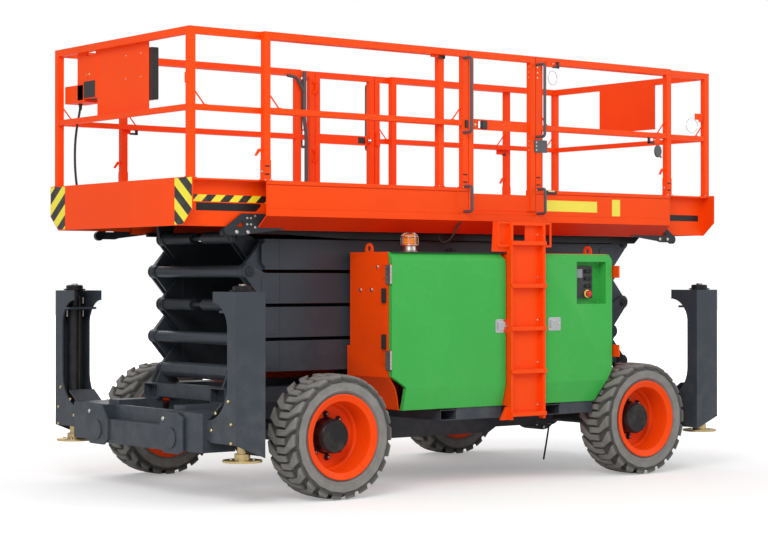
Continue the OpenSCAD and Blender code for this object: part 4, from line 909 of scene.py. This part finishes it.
def build_ladders():
    """Ladders with ribs on their rungs and bolts behind them."""
    soften("ladders", "orange", 2.5)
    ribs, feet = [], []
    for index in range(5):
        z = 501 + index * 307
        ribs += [box((112, LADDER_OUT - k, z + 12), (424, LADDER_OUT - k + 5, z + 16)) for k in (36, 24, 12)]
        feet += bolts([(x, CAB_OUT + 6, z + 60) for x in (140, 396)], 18, 6, OUT, True)
    make("ladder_rung_ribs", both_sides(*ribs), "orange", "base", 1, 1, 30)
    make("ladder_back_bolts", both_sides(*feet), "zinc", "base")


# Platform

def tread_plate(x_range, y_range, z, pitch=48.0):
    """Raised lozenges on a floor, each a low pyramid 34 long and 10 wide, turned by 45 degrees one
    way or the other by the parity of its column and row."""
    rim = 20
    x, y = np.meshgrid(*(np.arange(low + rim, high - rim, pitch) for low, high in (x_range, y_range)))
    turn = np.where((np.indices(x.shape).sum(0) % 2) == 0, 1.0, -1.0) * math.pi / 4
    x, y, turn = x.ravel(), y.ravel(), turn.ravel()
    long, wide = np.stack([np.cos(turn), np.sin(turn)], 1), np.stack([-np.sin(turn), np.cos(turn)], 1)
    points = np.empty((len(x), 5, 3))
    points[:, :, :2] = np.stack([x, y], 1)[:, None]
    points[:, 0, :2] += 17 * long
    points[:, 1, :2] += 5 * wide
    points[:, 2, :2] -= 17 * long
    points[:, 3, :2] -= 5 * wide
    points[:, :, 2] = z - 0.2
    points[:, 4, 2] = z + 1.6
    pattern = [[0, 1, 4], [1, 2, 4], [2, 3, 4], [3, 0, 4], [3, 2, 1, 0]]
    faces = [[5 * index + corner for corner in face] for index in range(len(x)) for face in pattern]
    return points.reshape(-1, 3), faces


def deck_tones():
    """Tests that pick the brackets and the rollers, and the underside and slanted skirt that carry painted
    shade: black under the floor, deep orange on the skirt.
    """
    def bracket(c, n):
        return 840 < abs(c.y) < 853 and c.z < 1908 and (c.x < -1600 or c.x > 1650)

    def under(c, n):
        return abs(c.y) < 796 and c.z < 1934 and n.z < 0.5

    def roller(c, n):
        return min(abs(c.x - 2118), abs(c.x + 2097)) < 36 and c.z < 1820 and abs(c.y) < 849

    def skirt(c, n):
        return n.z < -0.4 and n.y * c.y > 0 and abs(c.y) > 836 and c.z < 1900
    return [("shade", skirt), ("black", under), ("dark", bracket), ("black", roller)]


def build_main_deck():
    """Main deck with its tread floor, folds, labels and the bolts on the roller brackets."""
    body = "platform"
    # Painted shade: the underside turns black and the slanted skirt deep orange
    recolour(soften("main_deck", "orange", 3), deck_tones())
    make("main_floor_tread", [tread_plate((-1838, 1973), (-810, 810), 1938)], "orange", body, sharp=10)
    labels = [box((x0, -SIDE_Y - 1.2, z0), (x1, -SIDE_Y + 0.5, z1))
              for x0, x1, z0, z1 in ((656, 1190, 1974, 2056), (1348, 1434, 1950, 2076))]
    make("blank_labels", labels, "label", body, 0.6, 1, 30)
    small = [(x, 852, z) for x in (-1936, -1906) for z in (1834, 1876)]
    small += [(-1872, 852, 1890), (-1873, 852, 1815)]
    large = [(-2020, 852, 1782), (-1930, 852, 1782), (1965, 852, 1786), (2050, 852, 1786)]
    heads = bolts(small, 15, 7, OUT) + bolts(large, 24, 9, OUT)
    make("roller_bracket_bolts", both_sides(*heads), "zinc", body)
    lips, seams = [], []
    inner = SIDE_Y - 0.5
    for side, post, gate_post in ((-1, -94, 569), (1, -108, 498)):
        for x0, x1 in ((-1843, post), (gate_post, 1978)):
            lips += sided([box((x0, inner, 2101), (x1, SIDE_Y + 3.5, 2125))], side)
            # Under each lip a dark strip paints the shadow in the groove
            seams += sided([box((x0, SIDE_Y - 0.3, 2095), (x1, SIDE_Y + 0.8, 2102))], side)
    make("deck_edge_lips", lips, "orange", body, 1.5, 2, 30)
    make("deck_edge_seam_shadows", seams, "shade", body)
    fold = box((-1844, inner, 1940), (1979, SIDE_Y + 2, 1946))
    make("skirt_folds", both_sides(fold), "orange", body, 1, 1, 30)


def gusset(x, y, s):
    """Thin rod from a post down to a tab on the middle rail; s is the direction along the rail."""
    rod = tube([(x, y, MID_Z + 96), (x + s * 80, y, MID_Z + 3)], 5.5, 8, OUT)
    x0, x1 = sorted((x + s * 66, x + s * 96))
    return [rod, box((x0, y - 15, MID_Z - 1), (x1, y + 15, MID_Z + 4))]


def rail_latch(x, z, y, s, right=True):
    """Spring latch between rails: a black L, an orange clip and a chrome stud; the lists are its
    black, orange and chrome shapes, and right puts the L's upright at the right."""
    near, far = sorted((y, y + s * 14))

    def bar(a, b, low, high):
        x0, x1 = (x + 128 - b, x + 128 - a) if right else (x + a, x + b)
        return box((x0, near, z + low), (x1, far, z + high))
    black = [bar(0, 20, 0, 50), bar(0, 66, 0, 15)]
    stud = [lathe([(6, 0), (6, 10), (3, 12)], (x + 54, y + s * 14, z + 30), (0, s, 0), 12)]
    return black, [bar(62, 128, 5, 44)], stud


def post_sleeve(x):
    """Low folded sleeve round a corner post, with a hook at its side."""
    hook = [(x + 2, 2336), (x - 30, 2336), (x - 60, 2290), (x - 46, 2286), (x - 22, 2316), (x + 2, 2316)]
    return [box((x - 3, POST_Y - 3, 2131), (x + POST_W + 3, POST_Y + 48, 2262)),
            prism(hook, POST_Y + 10, POST_Y + 24)]


def sleeve_slits(x, y, width):
    """Two thin black strips across a sleeve's outer face, painting the shade inside its slits."""
    return [box((x + 2, y + 47, z), (x + width - 12, y + 50, z + 9)) for z in (2162, 2216)]


def grip_bar(x, z0, z1):
    """Coated handle in front of a post: out, along and back."""
    foot, face = SIDE_Y - 4, SIDE_Y + 85
    return tube(bend([(x, foot, z1), (x, face, z1), (x, face, z0), (x, foot, z0)], 26), 11, 14, AFT)


def build_main_rails():
    """Guard rails of the main deck with gussets, sleeves, grips and latches."""
    body = "platform"
    soften("main_rails", "orange", 5)
    posts = {-1: (-1862, -141, 567, 1947), 1: (-1862, -155, 496, 1911)}
    extra, slits, grips, feet, rings = [], [], [], [], []
    for side, places in posts.items():
        front, gate_front, gate_rear, rear = places
        rods = [(front + POST_W, 1), (rear, -1), (gate_front, -1), (gate_rear + POST_W, 1)]
        here = [shape for x, way in rods for shape in gusset(x, 927, way)]
        here += [box((x - 12, 902, 2124), (x + 61, 954, 2134)) for x in places]
        extra += sided(here + post_sleeve(front) + post_sleeve(rear), side)
        for x in (front, rear):
            slits += sided(sleeve_slits(x, POST_Y, 49), side)
        for x in (gate_front, gate_rear):
            slits += sided(sleeve_slits(x, 902, 52), side)
            grips += sided([grip_bar(x + 9, 2521, 3055), grip_bar(x + 14, 1954, 2134)], side)
        feet += sided(bolts([(x + k, 954, 2129) for x in places for k in (4, 45)], 13, 5, OUT, True), side)
        rings += sided(bolts([(x - 3, 930, 2184) for x in (front, rear)], 18, 12, FORE, True), side)
    make("main_rail_gussets", extra, "orange", body, 1.2, 1, 40)
    # The black strips stand in for the shade inside the slits
    make("sleeve_slits", slits, "black", body)
    make("grip_handles", grips, "grip", body, sharp=60)
    make("post_foot_pins", feet + rings, "zinc", body)
    make_boxes(body, [("near_hinge_plate", (548, -957, 2406), (672, -949, 2498), "grip", 2),
                      ("gate_stile_latch_near", (-122, -962, 2556), (-98, -949, 2612), "plastic", 3),
                      ("far_gate_catch", (500, 890, 2546), (540, 906, 2662), "orange", 4),
                      ("foot_bracket_main", (656, -962, 2100), (764, -949, 2126), "plastic", 2)])
    for name, x, y, rows, material in (("near_hinge_bolts", 562, -957, (2424, 2452, 2480), "zinc"),
                                       ("near_post_bolts", 578, -949, (2957, 2996, 3035), "yellow_zinc")):
        make(name, bolts([(x, y, z) for z in rows], 13, 6, NEAR), material, body)
    latches = [rail_latch(662, 3040, -950, -1), rail_latch(1752, 2524, -930, -1, False),
               rail_latch(1812, 2528, 906, 1), rail_latch(-1852, 2538, 906, 1)]
    black, clips, studs = ([shape for latch in latches for shape in latch[part]] for part in range(3))
    make("rail_latches", black, "plastic", body, 2, 2, 30)
    make("rail_latch_clips", clips, "orange", body, 2, 2, 30)
    make("rail_latch_studs", studs, "chrome", body, sharp=50)
    make("latch_ring_near", [hoop(722, -962, 2966, 44, 52)], "chrome", body, sharp=60)
    oval = [(1857 + 36 * math.cos(a), 2467 + 48 * math.sin(a)) for a in np.radians(np.arange(0, 360, 15))]
    make("rear_hand_wheel", [prism(oval, -948, -932)], "grip", body, 3, 2, 30)
    pin = lathe([(9, 0), (9, 12), (5, 14)], (1888, -940, 2424), NEAR, 14)
    make("rear_hand_wheel_pin", [pin], "zinc", body, sharp=50)
    knob = lathe([(15, 0), (17, 6), (17, 14), (11, 19), (1, 19)], (434, 905, 2588), NEAR, 20)
    make("far_gate_knob", [knob], "chrome", "gate_far_body", sharp=50)
    pin = lathe([(8, -30), (8, 34)], (700, -964, 2122), AFT, 14)
    make("foot_bracket_main_pin", [pin], "yellow_zinc", body, sharp=50)


def build_gates():
    """Two gates with a window, a black catch and a brass knob in the middle plate."""
    for node in ("gate_near", "gate_far"):
        soften(node, "orange", 4)
    make_boxes("gate_near_body", [("gate_catch_near", (42, -952, 2556), (90, -931, 2616), "plastic", 3)])
    for name, low, high, material, body in (
            ("gate_window_near", (16, -938, 2562), (42, -931.5, 2612), "chrome", "gate_near_body"),
            ("gate_window_far", (338, 922, 2565), (408, 925, 2616), "black", "gate_far_body")):
        make(name, [box(low, high)], material, body, 1, 1, 30)
    knob = lathe([(10, 0), (13, 6), (13, 14), (7, 18), (1, 18)], (-22, -932, 2584), NEAR, 18)
    make("gate_knob_near", [knob], "yellow_zinc", "gate_near_body", sharp=50)
    heads = bolts([(514, -931, z) for z in (2420, 2452, 2484, 2957, 2996, 3035)], 13, 6, NEAR)
    make("gate_hinge_bolts_near", heads, "yellow_zinc", "gate_near_body")


def build_roll_deck(name, way, floor, outer, inner, edge, slot):
    """One roll out deck with its rails and sign: way is -1 at the front and 1 at the rear, floor the
    limits of the tread, outer its end face, inner and edge the left sides of its posts."""
    body = name + "_extension"
    # Faces under the roll out deck turn black: painted shade under the deck
    painted_shade_below = [("black", lambda c, n: n.z < -0.5 and abs(c.y) < 820)]
    recolour(soften(name + "_deck", "orange", 2.5), painted_shade_below)
    soften(name + "_rails", "orange", 5)
    soften(name + "_sign", "orange", 2)
    make("roll_floor_tread_" + name, [tread_plate(floor, (-815, 815), 1956)], "orange", body, sharp=10)
    # A black sheet on the side paints the shade inside its slot
    make("roll_side_slot_shade_" + name, both_sides(prism(slot, ROLL_SIDE_Y, ROLL_SIDE_Y + 1.5)), "black", body)
    corner = [(735, 1826), (833, 1826), (946, 1922), (946, 2130), (735, 2130)]
    far = prism(corner, *sorted((outer + way * 0.15, outer - way)), "yz")
    make("corner_chevrons_far_" + name, [far], "tape_left", body)
    make("corner_chevrons_near_" + name, [flipped(far)], "tape_right", body)
    rods = gusset(edge + POST_W if way < 0 else edge, 877, -way)
    feet = [box((x - 8, 852, 2129), (x + 57, 903, 2138)) for x in (inner, edge)]
    make("roll_rail_gussets_" + name, both_sides(*rods, *feet), "orange", body, 1.2, 1, 40)
    pins = bolts([(x + k, 903, 2134) for x in (inner, edge) for k in (2, 47)], 12, 5, OUT, True)
    make("roll_post_pins_" + name, both_sides(*pins), "zinc", body)


def build_roll_decks():
    """Both roll out decks, hazard tape, latch, pull ring and the parts behind the front sign."""
    build_roll_deck("front", -1, (-2419, -127), -2427, -324, -2419,
                    [(-2321, 1921), (-1850, 1921), (-1813, 1955), (-1813, 1973), (-2321, 1973)])
    build_roll_deck("rear", 1, (582, 2480), 2488, 630, 2431,
                    [(1990, 1932), (2426, 1932), (2426, 1979), (1990, 1979)])
    front, rear = "front_extension", "rear_extension"
    tape = box((-2418, ROLL_SIDE_Y, 1980), (-1700, ROLL_SIDE_Y + 1.9, 2025))
    make("roll_side_tape", both_sides(tape), "tape_deck", front)
    make("post_tab_front", [box((-2425, -900, 2748), (-2419, -852, 2815))], "orange", front, 1, 1, 30)
    black, clip, stud = rail_latch(-402, 3044, -900, -1)
    make("roll_latch", black, "plastic", front, 2, 2, 30)
    make("roll_latch_clip", clip, "orange", front, 2, 2, 30)
    make_boxes(front, [("foot_bracket_near", (-352, -912, 2096), (-262, -899, 2118), "plastic", 2),
                       ("sign_case", (-2367, -348, 2679), (-2310, 60, 3031), "plastic", 5)])
    pins = bolts([(x, -912, 2107) for x in (-330, -290)], 14, 6, NEAR)
    make("foot_bracket_pin", pins + stud, "yellow_zinc", front)
    make("rear_pull_ring", [hoop(2278, -905, 2690, 66, 56)], "chrome", rear, sharp=60)
    bracket = [box((2318, -908, 2740), (2396, -896, 2788)), box((2350, -914, 2722), (2380, -906, 2772))]
    make("rear_ring_bracket", bracket, "orange", rear, 2, 2, 30)
    rivets = bolts([(-2374, y, z) for y in (-220, -21) for z in (2840, 3000)], 12, 4, FORE, True)
    make("sign_rivets", rivets, "zinc", front)


def build_grab_pole():
    """Grey pole with an offset bend and a curved branch, inside the far rails."""
    pole = [(x, 838, z) for x, z in ((-238, 2140), (-238, 2620), (-256, 2700), (-256, 3100))]
    branch = [(x, 838, z) for x, z in ((-420, 3060), (-330, 3050), (-290, 2990), (-258, 2930))]
    make("grab_pole", [tube(bend(pole, 40), 15, 16, OUT), tube(bend(branch, 30), 13, 14, OUT)], "grip",
         "front_extension", sharp=60)


def build_platform_controls():
    """Control stand of the platform: orange housing, channel and panel with a hand slot, black box,
    joystick with its boot, stop button and small lamps."""
    body = "front_extension"
    x, y, z = -2374, 567, 2725
    lid, top = z + 125, RAIL_TOP
    # Limits in Y and Z of the four bars round the hand slot
    bars = [(380, z + 20, y, top - 66), (380, top - 40, y, top - 10), (380, top - 67, 396, top - 39),
            (y - 36, top - 67, y, top - 39)]
    housing = [box((x, y, z), (x + 165, 835, lid)), box((x, y - 1, z + 10), (x + 44, y + 87, top - 5))]
    housing += [box((x, y0, z0), (x + 24, y1, z1)) for y0, z0, y1, z1 in bars]
    stand = make("control_housing", housing, "orange", body, 4, 2, 30)
    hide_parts("platform_controls")
    make("control_box", [box((x + 23, 394, z + 20), (x + 165, y + 1, z + 145)),
                         box((x - 1.5, 400, z + 24), (x + 1, 560, z + 141))], "plastic", body, 5, 2, 30)
    boot = [(40, -1), (42, 6), (33, 14), (34, 20), (26, 28), (27, 34), (20, 44), (16, 52), (15.5, 130),
            (20, 139), (28, 156), (30, 172), (26, 188), (14, 199), (1, 200)]
    make("joystick", [lathe(boot, (x + 95, 687, lid), UP, 28)], "rubber", body, sharp=60)
    stop = (x + 100, 600, lid)
    ring = [(26, -1), (26, 5), (22, 7), (1, 7)]
    make("control_stop_ring", [lathe(ring, stop, UP, 24)], "label", body, sharp=30)
    head = [(12, 3), (12, 14), (22, 16), (23, 22), (16, 28), (0.5, 30)]
    make("control_stop_button", [lathe(head, stop, UP, 24)], "red", body, sharp=50)
    for name, colour, place, rise in (("white", "screen", 520, 190), ("yellow", "label", 480, 190),
                                      ("red", "red", 500, 165)):
        make("control_lamp_" + name, [button((x - 0.5, place, z + rise), 7, 3, FORE)], colour, body)


# Stage

def add_camera():
    """Camera at the photograph's place and angle."""
    data = bpy.data.cameras.new("Camera")
    data.lens = 92.2
    data.sensor_width = 36.0
    camera = bpy.data.objects.new("Camera", data)
    camera.location = (-9.251, -11.716, 1.469)
    camera.rotation_euler = (math.radians(90.329), 0.0, math.radians(-37.94))
    bpy.context.scene.collection.objects.link(camera)
    bpy.context.scene.camera = camera


def area_light(name, place, target, size, watts):
    """A square soft light aimed at a point."""
    data = bpy.data.lights.new(name, "AREA")
    data.size = size
    data.energy = watts
    lamp = bpy.data.objects.new(name, data)
    lamp.location = place
    lamp.rotation_euler = (Vector(target) - Vector(place)).to_track_quat("-Z", "Y").to_euler()
    bpy.context.scene.collection.objects.link(lamp)


def build_stage(settings):
    """Pale floor that fades to white, soft studio lights and a white background."""
    size = 60.0
    mesh = bpy.data.meshes.new("studio_floor")
    corners = [(-size, -size, 0), (size, -size, 0), (size, size, 0), (-size, size, 0)]
    mesh.from_pydata(corners, [], [(0, 1, 2, 3)])
    material, tree, shader = new_material("Pale studio floor")
    shader.inputs["Base Color"].default_value = (0.86, 0.86, 0.86, 1)
    shader.inputs["Roughness"].default_value = 0.9
    shader.inputs["Specular IOR Level"].default_value = 0.1
    ray = add(tree, "ShaderNodeLightPath").outputs["Is Camera Ray"]
    place = add(tree, "ShaderNodeTexCoord").outputs["Object"]
    away = add(tree, "ShaderNodeVectorMath", {0: place}, operation="LENGTH").outputs["Value"]
    level = math_node(tree, "MULTIPLY", ray, spread(tree, away, 3.0, 9.0, settings.floor_lift, 1.0))
    lift = add(tree, "ShaderNodeCombineColor", {0: level, 1: level, 2: level}).outputs[0]
    tree.links.new(lift, shader.inputs["Emission Color"])
    shader.inputs["Emission Strength"].default_value = 1.0
    mesh.materials.append(material)
    floor = bpy.data.objects.new("studio_floor", mesh)
    bpy.context.scene.collection.objects.link(floor)
    world = bpy.data.worlds.new("Studio")
    world.use_nodes = True
    bpy.context.scene.world = world
    tree = world.node_tree
    paths = add(tree, "ShaderNodeLightPath").outputs
    seen = math_node(tree, "MAXIMUM", paths["Is Camera Ray"], paths["Is Transmission Ray"])
    level = settings.ambient
    colour = mix(tree, seen, (level, level, level * 1.02, 1), (1, 1, 1, 1))
    tree.links.new(colour, tree.nodes["Background"].inputs["Color"])
    area_light("Key", (-9.2, -8.3, 8.0), (0, 0, 1.2), 6.0, settings.key)
    area_light("Fill", (9.0, -9.0, 6.0), (0, 0, 1.2), 7.0, settings.key * 0.35)
    area_light("Back", (2.0, 10.0, 8.0), (0, 0, 1.5), 7.0, settings.key * 0.4)
    bpy.context.scene.view_settings.view_transform = "Standard"


# Add-on

class LiftSettings(bpy.types.PropertyGroup):
    """Colours, dust and light that a user may change."""
    orange: FloatVectorProperty(name="Orange", description="Colour of rails, decks, ladders and rims",
                                subtype="COLOR", size=3, min=0, max=1, default=(0.98, 0.072, 0.002))
    green: FloatVectorProperty(name="Green", description="Colour of the cabinet doors",
                               subtype="COLOR", size=3, min=0, max=1, default=(0.05, 0.44, 0.072))
    slate: FloatVectorProperty(name="Slate", description="Colour of chassis, arms and outriggers",
                               subtype="COLOR", size=3, min=0, max=1, default=(0.045, 0.055, 0.068))
    dust: FloatProperty(name="Dust", description="Amount of dust low down on the paint", subtype="FACTOR",
                        min=0, max=1, default=0.12)
    lugs: IntProperty(name="Lugs", description="Lugs on each side of a tyre", min=12, max=30, default=22)
    key: FloatProperty(name="Key light", description="Power of the main light", unit="POWER", min=0,
                       default=760.0)
    ambient: FloatProperty(name="Ambient", description="Brightness of the light from all round", min=0, max=2,
                           default=0.6)
    floor_lift: FloatProperty(name="Floor lift", description="White added to the floor in the picture", min=0,
                              max=1, default=0.3)


class LIFT_OT_camera(bpy.types.Operator):
    """Place the camera where the photographer stood"""
    bl_idname = "lift.camera"
    bl_label = "Camera"

    def execute(self, context):
        add_camera()
        return {"FINISHED"}


class LIFT_OT_finishes(bpy.types.Operator):
    """Build the shader groups and every finish"""
    bl_idname = "lift.finishes"
    bl_label = "Finishes"

    def execute(self, context):
        make_materials(context.scene.lift_settings)
        return {"FINISHED"}


class LIFT_OT_cords(bpy.types.Operator):
    """Lay the control cable, the loop under the deck and the earth strap"""
    bl_idname = "lift.cords"
    bl_label = "Cords"

    def execute(self, context):
        build_cords()
        return {"FINISHED"}


class LIFT_OT_wheels(bpy.types.Operator):
    """Build the four tyres with lugs and their rims"""
    bl_idname = "lift.wheels"
    bl_label = "Wheels"

    def execute(self, context):
        build_tyres(context.scene.lift_settings)
        build_rims()
        return {"FINISHED"}


class LIFT_OT_running_gear(bpy.types.Operator):
    """Paint axles and knuckles and add their bolts"""
    bl_idname = "lift.running_gear"
    bl_label = "Running gear"

    def execute(self, context):
        build_running_gear()
        return {"FINISHED"}


class LIFT_OT_chassis(bpy.types.Operator):
    """Paint chassis and outriggers, and add bolts, leg cylinders and pads"""
    bl_idname = "lift.chassis"
    bl_label = "Chassis and outriggers"

    def execute(self, context):
        build_chassis()
        return {"FINISHED"}


class LIFT_OT_scissor(bpy.types.Operator):
    """Paint arms, slides and cylinders, and add caps and bolts on the pins"""
    bl_idname = "lift.scissor"
    bl_label = "Scissor"

    def execute(self, context):
        build_scissor()
        return {"FINISHED"}


class LIFT_OT_cabinets(bpy.types.Operator):
    """Paint cabinets and doors, and add hinges, catches, latches, controls and beacon"""
    bl_idname = "lift.cabinets"
    bl_label = "Cabinets"

    def execute(self, context):
        build_cabinets()
        build_ground_controls()
        build_beacon()
        return {"FINISHED"}


class LIFT_OT_ladders(bpy.types.Operator):
    """Paint the ladders and add ribs and bolts"""
    bl_idname = "lift.ladders"
    bl_label = "Ladders"

    def execute(self, context):
        build_ladders()
        return {"FINISHED"}


class LIFT_OT_main_deck(bpy.types.Operator):
    """Paint the main deck and add tread, labels, rollers and bolts"""
    bl_idname = "lift.main_deck"
    bl_label = "Main deck"

    def execute(self, context):
        build_main_deck()
        return {"FINISHED"}


class LIFT_OT_rails(bpy.types.Operator):
    """Paint main rails and gates, and add gussets, sleeves, grips and latches"""
    bl_idname = "lift.rails"
    bl_label = "Rails and gates"

    def execute(self, context):
        build_main_rails()
        build_gates()
        return {"FINISHED"}


class LIFT_OT_roll_decks(bpy.types.Operator):
    """Paint both roll out decks and add tapes, gussets and the grab pole"""
    bl_idname = "lift.roll_decks"
    bl_label = "Roll out decks"

    def execute(self, context):
        build_roll_decks()
        build_grab_pole()
        return {"FINISHED"}


class LIFT_OT_platform_controls(bpy.types.Operator):
    """Build the control stand of the platform"""
    bl_idname = "lift.platform_controls"
    bl_label = "Platform controls"

    def execute(self, context):
        build_platform_controls()
        return {"FINISHED"}


class LIFT_OT_stage(bpy.types.Operator):
    """Add floor, lights and the white background"""
    bl_idname = "lift.stage"
    bl_label = "Stage"

    def execute(self, context):
        build_stage(context.scene.lift_settings)
        return {"FINISHED"}


STEPS = (LIFT_OT_camera, LIFT_OT_finishes, LIFT_OT_cords, LIFT_OT_wheels,
         LIFT_OT_running_gear, LIFT_OT_chassis, LIFT_OT_scissor, LIFT_OT_cabinets,
         LIFT_OT_ladders, LIFT_OT_main_deck, LIFT_OT_rails, LIFT_OT_roll_decks,
         LIFT_OT_platform_controls, LIFT_OT_stage)


class LIFT_PT_steps(bpy.types.Panel):
    """Lists the building steps in order."""
    bl_label = "Scissor lift"
    bl_idname = "LIFT_PT_steps"
    bl_space_type = "VIEW_3D"
    bl_region_type = "UI"
    bl_category = "Scissor lift"

    def draw(self, context):
        settings = context.scene.lift_settings
        for key in LiftSettings.__annotations__:
            self.layout.prop(settings, key)
        for step in STEPS:
            self.layout.operator(step.bl_idname)


CLASSES = (LiftSettings, *STEPS, LIFT_PT_steps)


def register():
    """Registers the classes and the settings of the scene."""
    for cls in CLASSES:
        bpy.utils.register_class(cls)
    bpy.types.Scene.lift_settings = PointerProperty(type=LiftSettings)


def unregister():
    """Takes them out again."""
    del bpy.types.Scene.lift_settings
    for cls in reversed(CLASSES):
        bpy.utils.unregister_class(cls)


def main():
    """Runs every step in order."""
    register()
    lift = bpy.ops.lift
    for step in (lift.camera, lift.finishes, lift.cords, lift.wheels, lift.running_gear, lift.chassis,
                 lift.scissor, lift.cabinets, lift.ladders, lift.main_deck, lift.rails, lift.roll_decks,
                 lift.platform_controls, lift.stage):
        step()


if __name__ == "__main__":
    main()
